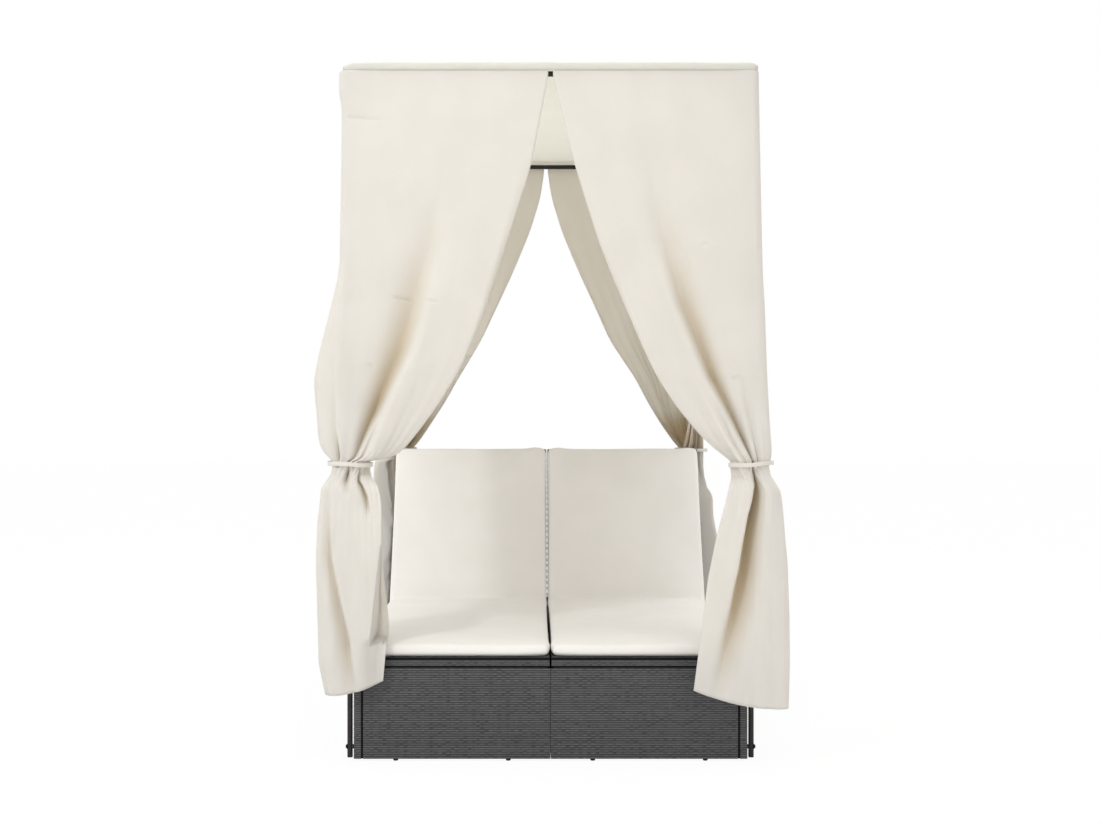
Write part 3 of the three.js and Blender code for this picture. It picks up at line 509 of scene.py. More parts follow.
def gathers(style, share, station):
    """Inward push of the secondary pleats, deepest at the tie and drawn out towards the rail."""
    depth = np.interp(station, GATHER_STATIONS, style["gathers"])
    phase = style["seed"]
    warped = share + 0.018 * np.sin(2 * math.pi * 1.7 * share + phase) + 0.006 * np.sin(9 * station + phase)
    uneven = 0.72 + 0.28 * np.sin(2 * math.pi * 2.3 * share + 2 * phase)
    calm = lerp(style["front_gathers"], 1, smoothstep(0.6, 0.7, share))
    fine = calm * depth * uneven * (1 - np.cos(2 * math.pi * PLEATS * warped + phase))
    # small puckers just under the strap
    pucker = np.interp(station, (0.97, 1.0, 1.02, 1.07), (0, 4.5, 4.5, 0))
    window = np.exp(-(np.abs(share - style["pucker"]) / 0.075) ** 4)
    fine = fine + pucker * window * (0.5 - 0.5 * np.cos(2 * math.pi * 33 * warped))
    # narrow deep tucks on the long side, where the spare cloth hangs
    tuck = np.interp(station, TUCK_STATIONS, style["tucks"]) * smoothstep(0.58, 0.66, share)
    return fine + tuck * (0.5 + 0.5 * np.cos(2 * math.pi * 13.5 * warped + phase)) ** 3


def upper_stations(style):
    """Rows from the rail (0) to the tie (1), closer together towards the tie and at each small crease."""
    fall = np.linspace(0, 1, 2001)
    close = (1.002 - fall) ** -0.26
    for _, level, *_ in style["creases"]:
        close = close + 4 * bell(lerp(UPPER_TOP, UPPER_BOTTOM, fall), level, 10)
    passed = np.cumsum(close) - close[0]
    return np.interp(np.linspace(0, passed[-1], ROWS_UPPER + 1), passed, fall)


def heading_row(style, share, step):
    """One row of the heading, which comes over the rail from its top (step 0) to its outer side (1)."""
    angle = math.radians(3 + 87 * step)
    path = rail_path(share, HEADING_REACH * math.sin(angle) ** 0.4)
    p, q, *_ = pushed(path, style["flare"] * bell(share, *FLARE) * math.sin(angle) ** 2)
    return p, q, RAIL_Z + HEADING_RISE * math.cos(angle) ** 0.6, 0


def upper_row(style, share, fall):
    """One row between the rail and the tie, with the folds, pleats and small creases."""
    bundle = bundle_path(share, style["wrap"])
    path = mixed(rail_path(share, HEADING_REACH), bundle, curve(style["drawn"], fall))
    out = curve(style["pouch"], fall, 0.02) * bell(share, *POUCH)
    out = out + style["flare"] * bell(share, *FLARE) * (1 - smoothstep(0.03, 0.09, fall))
    folds = fold_depth(style, share, fall)
    out = out - folds - gathers(style, share, fall)
    z = lerp(UPPER_TOP, UPPER_BOTTOM, fall) if fall else HEADING_BOTTOM
    for place, level, reach, deep in style["creases"]:
        across = (share - place) / reach
        out = out + deep * np.exp(-across ** 4) * bell(z - level, 4 * across, 4.5)
    edge = np.clip(1 - share / 0.022, 0, 1) ** 1.5
    p, q, *_ = pushed(path, out - style["edge_turn"] * edge * smoothstep(0.1, 0.6, fall))
    # painted shade: the crowded pleats above the tie are painted darker, on top of the shade painted in the
    # folds
    painted_tie_shade = style["painted_tie_shade"] * smoothstep(0.84, 0.95, fall)
    return p, q, z, folds * lerp(0.35, 0.75, fall) + painted_tie_shade


def waist_row(style, share, z):
    """One row under the strap."""
    folds = fold_depth(style, share, 1)
    p, q, *_ = pushed(bundle_path(share, style["wrap"]), -gathers(style, share, 1) - folds)
    return p, q, z, folds


def lap_on_pad(share, z):
    """Push towards the rear where the inner corner is laid on the seat pad and falls over its edge."""
    edge = np.interp(z, (350, 360, 468, 593, 640), (0.13, 0.125, 0.07, 0.02, 0.004))
    above = np.interp(share / edge, (0, 0.3, 0.55, 0.8, 0.93, 1), (95, 98, 100, 112, 80, 0))
    above = above * np.interp(z, (470, 640), (1, 0))
    below = 45 * (1 - smoothstep(0.02, 0.2, share)) * np.interp(z, (200, 345), (0.5, 1))
    return np.where(z > 353, above, below)


def tail_row(style, share, drop):
    """One row of the cloth that hangs below the tie."""
    hem = lerp(style["hem_corner"], style["hem_edge"], (2 * share - 1) ** 2)
    z = lerp(TAIL_TOP, hem, drop)
    station = 1 + drop
    # four broad folds, of which those along the front or rear are calmed
    swell = lerp(10, 18, drop)
    calm = lerp(1, smoothstep(0.4, 0.56, share), style["front_calm"])
    fold = swell * (np.cos(8 * math.pi * share) * calm + 1 - calm)
    offset = curve(style["outer"], drop) - swell
    tail = pushed(tail_path(share, offset, curve(style["inner"], drop), lerp(90, 150, drop)), fold)
    path = mixed(bundle_path(share, style["wrap"]), tail, smoothstep(0, style["opening"], drop))
    folds = fold_depth(style, share, station)
    p, q, *_ = pushed(path, -gathers(style, share, station) - folds)
    q = q + style["lap"] * lap_on_pad(share, z)
    # beside the base the cloth hangs outside its faces
    p = np.where((z < BESIDE_BASE) & (share > 0.55), np.minimum(p, 7), p)
    q = np.where((z < BESIDE_BASE) & (share < 0.45), np.minimum(q, -17), q)
    return p, q, z, folds * 0.9


def curtain_points(corner, style):
    """Rows of points of a curtain's middle surface, from over the rail to the hem, and the painted shade of
    each, deeper in the folds.
    """
    share = np.linspace(0, 1, CURTAIN_COLUMNS + 1)
    rows = [heading_row(style, share, step / ROWS_HEADING) for step in range(ROWS_HEADING)]
    rows += [upper_row(style, share, fall) for fall in upper_stations(style)]
    rows += [waist_row(style, share, z) for z in np.linspace(WAIST_TOP, WAIST_BOTTOM, ROWS_WAIST)]
    rows += [tail_row(style, share, (step / ROWS_TAIL) ** 1.25) for step in range(ROWS_TAIL + 1)]
    rows = np.array([np.broadcast_arrays(*row) for row in rows])
    across, along, height, folds = rows.transpose(1, 0, 2)
    side, end = CORNERS[corner]
    points = np.stack([side * (POST_X - across), end * (POST_Y - along), height], axis=2)
    # painted shade: the last value of each row grows with the depth of its folds, and the cloth material
    # darkens and warms the colour by it
    return points, ((folds - 6) / 44).clip(0, 0.8)


# In a style, drawn is how far the cloth has come from the rails' path to the bundle's, pouch how far it
# stands out beside the post, outer and inner how far its tail reaches past the post and towards the middle,
# each as (station or drop below the tie, value), and creases are (share, height, half width, depth).
# wrap is the bundle's angle round the post, painted_tie_shade is painted shade added over the crowded pleats
# above the tie, opening is the drop over which the tail spreads, and folds are listed from those above the
# tie downwards.
FRONT_STYLE = {"front_gathers": 0.1, "wrap": 310, "painted_tie_shade": 0, "front_calm": 1}
REAR_STYLE = {
    "edge_turn": 10, "front_gathers": 0.6, "pucker": 0.3, "wrap": 346, "painted_tie_shade": 36, "flare": 0, "lap": 0,
    "front_calm": 0.3, "hem_corner": 170, "hem_edge": 226, "creases": [],
    "inner": [(0, 57), (0.1, 74), (0.4, 110), (1, 150)],
    "gathers": (0, 1, 4, 8, 11, 12, 12, 10, 7, 6), "tucks": (16, 36, 18, 40, 66, 62)}
CURTAIN_STYLES = {
    "front_left": {
        **FRONT_STYLE, "edge_turn": 16, "seed": 0.4, "pucker": 0.27, "tilt": -2.5, "flare": 9, "lap": 1,
        "opening": 0.1, "hem_corner": 197, "hem_edge": 238,
        "drawn": [(0, 0), (0.231, 0.096), (0.421, 0.219), (0.508, 0.275), (0.594, 0.331), (0.68, 0.398),
                  (0.769, 0.483), (0.855, 0.6), (0.942, 0.745), (0.97, 0.8), (0.985, 0.84), (0.995, 0.91),
                  (1, 1)],
        "pouch": [(0.48, 0), (0.526, 8), (0.578, 25), (0.63, 42), (0.683, 58), (0.735, 70), (0.787, 79),
                  (0.84, 72), (0.892, 62), (0.944, 56), (0.975, 40), (0.99, 18), (1, 0)],
        "outer": [(0, 61), (0.036, 70), (0.08, 84), (0.147, 88), (0.235, 94), (0.41, 97), (0.587, 92),
                  (0.85, 88), (1, 70)],
        "inner": [(0, 60), (0.03, 70), (0.06, 82), (0.1, 92), (0.16, 99), (0.4, 100), (0.6, 104),
                  (0.75, 114), (1, 100)],
        "creases": [(0.27, 1344, 0.03, -5), (0.187, 1338, 0.02, -4), (0.41, 1866, 0.045, -3),
                    (0.35, 1149, 0.012, -4)],
        "gathers": (0, 0, 0.8, 3.5, 9, 13, 13, 10, 5, 3), "tucks": (0, 24, 34, 54, 68, 40),
        "folds": [
            [(0.2, 0.205, 0, 0.05, 0.07), (0.42, 0.217, 20, 0.04, 0.07), (0.71, 0.247, 54, 0.024, 0.07),
             (0.87, 0.29, 62, 0.012, 0.06), (0.95, 0.33, 40, 0.01, 0.035), (1.0, 0.35, 16, 0.01, 0.02)],
            [(0.8, 0.25, 0, 0.012, 0.014), (0.9, 0.275, 9, 0.012, 0.016), (1.0, 0.3, 10, 0.01, 0.012)],
            [(0.55, 0.5, 0, 0.03, 0.04), (0.75, 0.5, 10, 0.03, 0.04), (0.92, 0.49, 14, 0.02, 0.03),
             (0.985, 0.47, 26, 0.015, 0.02), (1.0, 0.47, 14, 0.015, 0.02)],
            [(1.0, 0.35, 10, 0.012, 0.014), (1.03, 0.335, 30, 0.018, 0.03), (1.06, 0.31, 30, 0.02, 0.035),
             (1.09, 0.29, 14, 0.02, 0.035), (1.13, 0.28, 0, 0.02, 0.03)],
            [(1.0, 0.24, 8, 0.012, 0.014), (1.03, 0.2, 28, 0.016, 0.02), (1.08, 0.15, 38, 0.014, 0.025),
             (1.14, 0.125, 30, 0.016, 0.03), (1.24, 0.11, 0, 0.03, 0.03)],
            [(1.06, 0.47, 4, 0.02, 0.05), (1.4, 0.4, 24, 0.018, 0.07), (1.78, 0.29, 28, 0.02, 0.08),
             (2.0, 0.25, 10, 0.04, 0.08)],
        ]},
    "front_right": {
        **FRONT_STYLE, "edge_turn": 14, "seed": 1.9, "pucker": 0.33, "tilt": 4, "flare": 0, "lap": 0,
        "opening": 0.11, "hem_corner": 168, "hem_edge": 222,
        "drawn": [(0, 0), (0.231, 0.123), (0.421, 0.246), (0.508, 0.3135), (0.594, 0.387), (0.68, 0.465),
                  (0.769, 0.55), (0.855, 0.673), (0.942, 0.835), (0.97, 0.913), (1, 1)],
        "pouch": [(0, 0), (0.5, 3), (0.6, 8), (0.9, 13), (0.97, 15), (0.99, 10), (1, 2)],
        "outer": [(0, 64), (0.036, 75), (0.08, 79), (0.147, 87), (0.235, 93), (0.33, 99), (0.41, 105),
                  (0.5, 108), (0.6, 111), (0.8, 114), (1, 112)],
        "inner": [(0, 58), (0.036, 64), (0.08, 73), (0.147, 82), (0.235, 99), (0.33, 114), (0.41, 125),
                  (0.5, 137), (1, 178)],
        "creases": [(0.35, 1114, 0.022, -4), (0.3, 1500, 0.012, -3)],
        "gathers": (0, 0, 0.7, 3.5, 9, 14, 14, 11, 5, 3.5), "tucks": (0, 24, 34, 50, 66, 70),
        "folds": [
            [(0.15, 0.185, 0, 0.03, 0.08), (0.42, 0.19, 22, 0.024, 0.08), (0.6, 0.2, 46, 0.014, 0.065),
             (0.79, 0.245, 58, 0.009, 0.055), (0.95, 0.32, 40, 0.008, 0.035), (1.0, 0.35, 16, 0.008, 0.02)],
            [(0.75, 0.38, 0, 0.02, 0.02), (0.87, 0.4, 12, 0.02, 0.02), (1.0, 0.42, 12, 0.012, 0.014)],
            [(0.75, 0.22, 0, 0.02, 0.02), (0.88, 0.24, 12, 0.02, 0.02), (1.0, 0.27, 12, 0.012, 0.014)],
            [(1.0, 0.36, 14, 0.012, 0.02), (1.03, 0.335, 30, 0.012, 0.03), (1.06, 0.3, 44, 0.012, 0.045),
             (1.1, 0.265, 56, 0.012, 0.06), (1.2, 0.235, 66, 0.012, 0.08), (1.45, 0.21, 62, 0.014, 0.095),
             (1.6, 0.185, 48, 0.02, 0.1), (1.76, 0.155, 30, 0.03, 0.1), (2.0, 0.13, 6, 0.05, 0.1)],
        ]},
    "rear_left": {
        **REAR_STYLE, "seed": 3.1, "tilt": 2, "opening": 0.06,
        "drawn": [(0, 0), (0.094, 0.029), (0.216, 0.106), (0.369, 0.236), (0.488, 0.345), (0.611, 0.456),
                  (0.683, 0.545), (0.756, 0.64), (0.828, 0.725), (0.9, 0.833), (0.972, 0.945), (1, 1)],
        "pouch": [(0, 0), (0.9, 0), (0.96, 14), (0.99, 8), (1, 2)],
        "outer": [(0, 74), (0.03, 92), (0.07, 104), (0.14, 105), (0.25, 100), (0.45, 98), (0.7, 108),
                  (1, 110)],
        "folds": [
            [(0.3, 0.3, 0, 0.04, 0.05), (0.7, 0.32, 20, 0.03, 0.04), (1.0, 0.36, 14, 0.015, 0.02)],
            [(0.4, 0.12, 0, 0.04, 0.05), (0.8, 0.14, 14, 0.03, 0.04), (1.0, 0.17, 10, 0.015, 0.02)],
        ]},
    "rear_right": {
        **REAR_STYLE, "seed": 4.6, "tilt": -2, "opening": 0.3,
        "drawn": [(0, 0), (0.094, 0.029), (0.216, 0.106), (0.369, 0.236), (0.488, 0.345), (0.611, 0.45),
                  (0.683, 0.545), (0.756, 0.65), (0.828, 0.735), (0.9, 0.833), (0.972, 0.945), (1, 1)],
        "pouch": [(0, 0), (1, 0)],
        "outer": [(0, 61), (0.05, 64), (0.137, 69), (0.236, 76), (0.456, 93), (0.65, 103), (1, 108)],
        "folds": [
            [(0.3, 0.28, 0, 0.04, 0.05), (0.7, 0.3, 22, 0.03, 0.04), (1.0, 0.33, 14, 0.015, 0.02)],
            [(0.4, 0.1, 0, 0.04, 0.05), (0.8, 0.12, 14, 0.03, 0.04), (1.0, 0.15, 10, 0.015, 0.02)],
        ]},
}


def make_curtain(corner, style, material):
    points, depth = curtain_points(corner, style)
    # painted shade: each point carries how much the cloth material darkens and warms it in the folds
    mesh = grid_mesh(corner + "_curtain_cloth", points, CURTAIN_FLAT, ("painted_fold_shade", depth))
    cloth = thicken(piece(mesh, material), CLOTH_THICKNESS)
    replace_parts(cloth, corner + "_curtain")
    strap = make_tie(corner, style, material)


def make_tie(corner, style, material):
    """Sewn strap round the bundle, a little tilted and wavy."""
    radius, half_thick, half_wide = 64.4, 1.3, 6.2
    bm = bmesh.new()
    bmesh.ops.create_circle(bm, segments=14, radius=1)
    for vert in bm.verts:
        thick, wide = vert.co.x, vert.co.y
        vert.co = Vector(((radius + half_thick * math.copysign(abs(thick) ** 0.5, thick)) * MM, 0,
                          half_wide * math.copysign(abs(wide) ** 0.7, wide) * MM))
    bmesh.ops.spin(bm, geom=bm.verts[:] + bm.edges[:], cent=(0, 0, 0), axis=(0, 0, 1),
                   angle=2 * math.pi, steps=120, use_merge=True)
    bmesh.ops.remove_doubles(bm, verts=bm.verts[:], dist=1e-5)
    bmesh.ops.recalc_face_normals(bm, faces=bm.faces[:])
    mesh = mesh_from(bm, corner + "_tie_strap")
    place = coordinates(mesh) / MM
    angle = np.arctan2(place[:, 1], place[:, 0])
    pull = 1 + 0.012 * np.cos(5 * angle + style["seed"])
    place[:, :2] *= pull[:, None]
    place[:, 2] += TIE_Z + style["tilt"] * np.cos(angle) + 1.1 * np.sin(3 * angle + 2 * style["seed"])
    side, end = CORNERS[corner]
    place[:, :2] += (side * POST_X, end * POST_Y)
    set_coordinates(mesh, place * MM)
    strap = piece(mesh, material)
    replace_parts(strap, corner + "_tie")
    return strap


# Roof

ROOF_FLAT = (1.29, 1.96)


def make_roof(material):
    """One sheet: a slightly sagging field, rounded over the curtain headings, with a turned-in hem."""
    columns, rows = 120, 170
    field_share, corner_cut, edge_level = 0.93, 7, 2011
    a, b = np.meshgrid(np.linspace(-1, 1, columns + 1), np.linspace(1, -1, rows + 1))
    ring = np.maximum(np.abs(a), np.abs(b))
    inside = np.clip(ring / field_share, 0, 1)
    outer = np.clip((ring - field_share) / (1 - field_share), 0, 1)
    # the rim's cross-section: places outwards from the post axis and heights
    runs = [0, 0.12, 0.3, 0.42, 0.55, 0.8, 0.86, 0.93, 1]
    reach = np.interp(outer, runs, [-14, 6, 16, 21.5, 24.4, 25.4, 25.4, 24.2, 23])
    height = np.interp(outer, runs, [2028, 2029, 2029.8, 2029.2, 2027, 2019, 2009.6, 2007.4, 2006.6])
    across, along = a / np.maximum(ring, 1e-9), b / np.maximum(ring, 1e-9)
    # corners rounded in plan
    cut = corner_cut * np.minimum(np.abs(across), np.abs(along)) ** 14 * inside
    x = across * (POST_X + reach) * inside - np.sign(across) * cut
    y = along * (POST_Y + reach) * inside - np.sign(along) * cut
    # the cloth falls away over the side rails
    shoulder = np.clip(1 - (POST_X + 29 - np.abs(x)) / np.where(x < 0, 46, 30), 0, 1) ** 1.6
    fall = shoulder * (height - edge_level).clip(0) * 0.85 * (1 - smoothstep(0.8, 1, outer))
    crown = 3 * (1 - (x / POST_X) ** 2).clip(0) * (1 - (y / POST_Y) ** 2).clip(0)
    ripple = 0.8 * np.sin(x / 71 + 1.2) * np.sin(y / 103) + 0.5 * np.sin(x / 33 + y / 57)
    wave = 0.15 * (np.sin(x / 47 + 0.4) + np.sin(y / 61))
    z = height - fall + (crown + ripple) * (1 - outer) + wave * smoothstep(0.5, 1, outer)
    mesh = grid_mesh("roof_cloth_sheet", np.stack([x, y, z], axis=2), ROOF_FLAT)
    face_towards(mesh, (0, 0, 1))
    cloth = thicken(piece(mesh, material), 1.4)
    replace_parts(cloth, "roof_cloth")


# Steel canopy, rods, bails, bolts and feet

POST_BOTTOM = 10
SLEEVE_RADIUS, SLEEVE_LENGTH = 8.6, 24
BOLT_LEVELS = {"lower": 41, "upper": 236}
# washer, hexagon head and rounded end: from and to, outwards from the post's axis, radius, sides, edge
BOLT_RINGS = ((8.1, 9.2, 7.4, 32, 0.2), (9.1, 12.3, 5.5, 6, 0.5), (12.2, 12.7, 3, 20, 0.2))
FOOT_OUTLINE = ((0, 0), (5.2, 0), (6.4, 0.5), (7, 1.6), (7, 4.6), (6.5, 5.9), (5.4, 6.7), (3, 6.7), (3, 20),
                (0, 20))
FOOT_X, FOOT_INSET = 164, 13
PIVOT_ALONG, PIVOT_UP = 230, -28
BAIL_LEG, BAIL_HALF_WIDTH, BAIL_FOOT_Z = 390, 238, 238
ROD_HALF_LENGTH = 246


def make_post(corner, side, end, steel, bolt):
    """Post with an open lower end, a corner fitting with two sleeves, and bosses towards the base."""
    x, y = side * POST_X, end * POST_Y
    top = (x, y, RAIL_Z)
    bm = bmesh.new()
    add_bar(bm, (x, y, POST_BOTTOM), (x, y, RAIL_Z - SLEEVE_LENGTH), TUBE_RADIUS, 32, 0.4)
    lowest = min(bm.faces, key=lambda f: f.calc_center_median().z)
    bmesh.ops.inset_individual(bm, faces=[lowest], thickness=1.3 * MM)
    bmesh.ops.translate(bm, vec=(0, 0, 30 * MM), verts=lowest.verts[:])
    add_bar(bm, (x, y, RAIL_Z - 30), top, SLEEVE_RADIUS, 32, 0.8)
    add_ball(bm, top, SLEEVE_RADIUS)
    add_bar(bm, top, (x - side * SLEEVE_LENGTH, y, RAIL_Z), SLEEVE_RADIUS, 32, 0.8)
    add_bar(bm, top, (x, y - end * SLEEVE_LENGTH, RAIL_Z), SLEEVE_RADIUS, 32, 0.8)
    for z in BOLT_LEVELS.values():
        add_bar(bm, (x - side * 6.6, y, z), (x - side * 12.7, y, z), 6.5, 24, 0.3)
    edged_piece(bm, corner + "_post", "tube", steel)
    for level, z in BOLT_LEVELS.items():
        bm = bmesh.new()
        for near, far, radius, sides, edge in BOLT_RINGS:
            add_bar(bm, (x + side * near, y, z), (x + side * far, y, z), radius, sides, edge)
        edged_piece(bm, f"{corner}_post_{level}_bolt", "head", bolt)


def make_rail(name, start, end, steel):
    bm = bmesh.new()
    add_bar(bm, start, end, TUBE_RADIUS, 32, 0.3)
    edged_piece(bm, name + "_top_rail", "tube", steel)


def make_canopy_frame(steel, bolt):
    for corner, (side, end) in CORNERS.items():
        make_post(corner, side, end, steel, bolt)
    # the rails end 1 mm inside their sleeves
    half_x, half_y = POST_X - SLEEVE_LENGTH + 1, POST_Y - SLEEVE_LENGTH + 1
    for name, end in ENDS:
        make_rail(name, (-half_x, end * POST_Y, RAIL_Z), (half_x, end * POST_Y, RAIL_Z), steel)
    for name, side in SIDES:
        make_rail(name, (side * POST_X, -half_y, RAIL_Z), (side * POST_X, half_y, RAIL_Z), steel)


def make_feet(side_name, x_middle, plastic):
    for end_name, end in ENDS:
        for place, turn in SIDES:
            x, y = x_middle + turn * FOOT_X, end * (BASE_HALF_LENGTH - FOOT_INSET)
            bm = bmesh.new()
            verts = [bm.verts.new(((x + r) * MM, y * MM, z * MM)) for r, z in FOOT_OUTLINE]
            edges = [bm.edges.new(pair) for pair in zip(verts, verts[1:])]
            bmesh.ops.spin(bm, geom=verts + edges, cent=(x * MM, y * MM, 0), axis=(0, 0, 1),
                           angle=2 * math.pi, steps=28, use_merge=True)
            bmesh.ops.remove_doubles(bm, verts=bm.verts[:], dist=1e-6)
            bmesh.ops.recalc_face_normals(bm, faces=bm.faces[:])
            edged_piece(bm, f"{side_name}_{end_name}_{place}_foot", "pad", plastic, sharp=50)


# Raised backrest

BACK_ALONG = (0, math.cos(RECLINE), math.sin(RECLINE))
BACK_UP = (0, -math.sin(RECLINE), math.cos(RECLINE))


def back_place(x, along, up):
    """World place in millimetres of a point along and above the raised backrest."""
    return (x, HINGE_Y + along * math.cos(RECLINE) - up * math.sin(RECLINE),
            HINGE_Z + along * math.sin(RECLINE) + up * math.cos(RECLINE))


def make_bail(side_name, x_middle, steel):
    """Bent tube: two legs on pins under the backrest and a foot bar with plugged ends."""
    pivot = back_place(0, PIVOT_ALONG, PIVOT_UP)[1:]
    slope = math.asin((pivot[1] - BAIL_FOOT_Z) / BAIL_LEG)
    foot = (pivot[0] + BAIL_LEG * math.cos(slope), BAIL_FOOT_Z)
    bm = bmesh.new()
    for _, turn in SIDES:
        x = x_middle + turn * BAIL_HALF_WIDTH
        add_bar(bm, (x, *pivot), (x, *foot), TUBE_RADIUS, 28, 0.3)
        add_ball(bm, (x, *pivot), TUBE_RADIUS)
        add_ball(bm, (x, *foot), TUBE_RADIUS)
        add_bar(bm, (x, *pivot), (x + turn * 13.5, *pivot), 4, 20, 0.4)
    add_bar(bm, (x_middle - 250, *foot), (x_middle + 250, *foot), TUBE_RADIUS, 28, 1.2)
    edged_piece(bm, side_name + "_support_bail", "tube", steel, body=side_name + "_bail")


def make_rod(side_name, x_middle, bolt):
    """Hinge rod with a button at each end."""
    hinge = (HINGE_Y, HINGE_Z)
    bm = bmesh.new()
    add_bar(bm, (x_middle - ROD_HALF_LENGTH, *hinge), (x_middle + ROD_HALF_LENGTH, *hinge), 4, 20)
    for _, turn in SIDES:
        near, far = ROD_HALF_LENGTH + 0.3, ROD_HALF_LENGTH + 3.3
        add_bar(bm, (x_middle + turn * near, *hinge), (x_middle + turn * far, *hinge), 6.5, 24, 0.8)
    edged_piece(bm, side_name + "_hinge_rod", "bar", bolt)


# Woven faces

def weave_heights(width, height, seed):
    """Heights in millimetres of a plain weave over a face, with the share of each point's height."""
    stakes, strands = max(round(width / STAKE_PITCH), 1), max(round(height / STRAND_PITCH), 1)
    columns, rows = stakes * 4, strands * 3
    u, v = np.meshgrid(np.arange(columns + 1) / 4, np.arange(rows + 1) / 3)
    strand = np.minimum(np.floor(v), strands - 1).astype(int)
    within = v - strand
    random = np.random.default_rng(seed)
    loose = random.uniform(-0.12, 0.12, (strands, 1))[strand[:, 0]]
    over = np.cos(math.pi * (u + strand)) * 0.5 + 0.5
    round_top = (1 - np.abs(2 * within - 1) ** 4).clip(0) ** 0.5
    # some strands are drawn tighter than others, so the bond shows in places only
    tight = random.random((strands, stakes + 1))[strand, np.rint(u).astype(int)]
    bond = 0.05 + 0.42 * tight ** 2
    bright = random.uniform(0.84, 1, (strands, 1))[strand[:, 0]]
    relief = (1 - bond * (1 - over)) * round_top * bright
    # every other stake shows as a fine upright line each 25 mm, for some 70 mm at a time
    stake = bell((u / 2 - np.rint(u / 2)) * 2 * STAKE_PITCH, 0, 2.6)
    shown = random.random((strands // 11 + 1, stakes // 2 + 2))[strand // 11, np.rint(u / 2).astype(int)]
    relief = relief * (1 + (0.32 * shown - 0.18) * stake)
    heights = 0.35 + 1.75 * relief + loose
    heights[0], heights[-1], heights[:, 0], heights[:, -1] = -0.2, -0.2, -0.2, -0.2
    return heights, relief, u / stakes * width, v / strands * height


def make_weave(name, start, across, up, size, material, seed, body="base", bulge=0.0):
    """Woven face of a width and height from its lower corner, across and up as seen from outside."""
    heights, relief, run, rise = weave_heights(*size, seed)
    start, across, up = (np.array(v, dtype=float) for v in (start, across, up))
    outward = np.cross(across, up)
    if bulge:
        # wraps level with the floor when raised, 20 mm apart, with short slits of daylight between them
        level = start[2] + run * across[2] + rise * up[2]
        wrap = (3.5 * (0.5 + 0.5 * np.cos(2 * math.pi * level / 20))).clip(0, 1)
        heights = 0.3 * np.maximum(heights, 0) + bulge * wrap
        # painted shade: the colour is lighter on the wraps and darker between them
        relief = 0.25 * relief + 0.75 * wrap
    points = start + run[..., None] * across + rise[..., None] * up + heights[..., None] * outward
    # the material paints shade by this share of height, darker down between the strands
    mesh = grid_mesh(name, points[::-1], layer=("height", relief[::-1]))
    face_towards(mesh, outward)
    piece(mesh, material, body)


def make_strip(name, centre, size, material):
    """Flat strip between the woven faces that paints a shadow line."""
    place = Matrix.Translation(Vector(centre) * MM) @ Matrix.Diagonal((*size, 1))
    bm = bmesh.new()
    bmesh.ops.create_cube(bm, size=MM, matrix=place)
    mesh = mesh_from(bm, name)
    mesh.shade_flat()
    piece(mesh, material)


def dress_base(strand, shadow_strip_finish):
    """Woven faces of the panels that show: front, rear, the two long sides and the corner columns."""
    up = (0, 0, 1)
    foot_end = -BASE_HALF_LENGTH
    for side_name, side in SIDES:
        low, high = (-PANEL_REACH, -0.4) if side < 0 else (0.4, PANEL_REACH)
        for end_name, end in ENDS:
            y, rightwards = end * BASE_HALF_LENGTH, (-end, 0, 0)
            make_weave(f"{side_name}_{end_name}_weave", (high if end > 0 else low, y, PANEL_BOTTOM),
                       rightwards, up, (high - low, PANEL_HEIGHT), strand, 5 + 2 * end + side)
            column_x = side * (BASE_HALF_WIDTH - COLUMN_WIDTH / 2) + end * COLUMN_WIDTH / 2
            make_weave(f"{side_name}_{end_name}_column", (column_x, y, PANEL_BOTTOM),
                       rightwards, up, (COLUMN_WIDTH, PANEL_HEIGHT), strand, 17 + 2 * end + side)
        middle, outer_x, forward = side * LOUNGER_X, side * BASE_HALF_WIDTH, (0, side, 0)
        make_weave(side_name + "_side_weave", (outer_x, side * foot_end, PANEL_BOTTOM), forward, up,
                   (2 * BASE_HALF_LENGTH, PANEL_HEIGHT - 3), strand, 11 + side)
        make_weave(side_name + "_seat_front_weave", (middle - HALF_LOUNGER, foot_end, FRAME_BOTTOM + 3),
                   (1, 0, 0), up, (LOUNGER_WIDTH, 16.5), strand, 23 + side)
        # painted shadow: near-black strips under the seat pad's front edge, where a dark steel edge shows in
        # the pad's shadow, and in the gaps below the seat frame's weave and beside the front panel
        make_strip(side_name + "_seat_front_edging", (middle, foot_end - 0.2, 298),
                   (LOUNGER_WIDTH, 1.4, 7.6), shadow_strip_finish)
        make_strip(side_name + "_seat_front_painted_recess_shadow", (middle, foot_end, 275.4),
                   (LOUNGER_WIDTH, 0.8, 3.6), shadow_strip_finish)
        make_strip(side_name + "_front_painted_recess_shadow", (side * (PANEL_REACH + 3), foot_end, 137),
                   (6.4, 0.5, 258), shadow_strip_finish)
        seat_start = foot_end if side > 0 else foot_end + SEAT_SIDE_LENGTH
        make_weave(side_name + "_seat_side_weave", (outer_x, seat_start, FRAME_BOTTOM), forward, up,
                   (SEAT_SIDE_LENGTH, 26), strand, 27 + side)


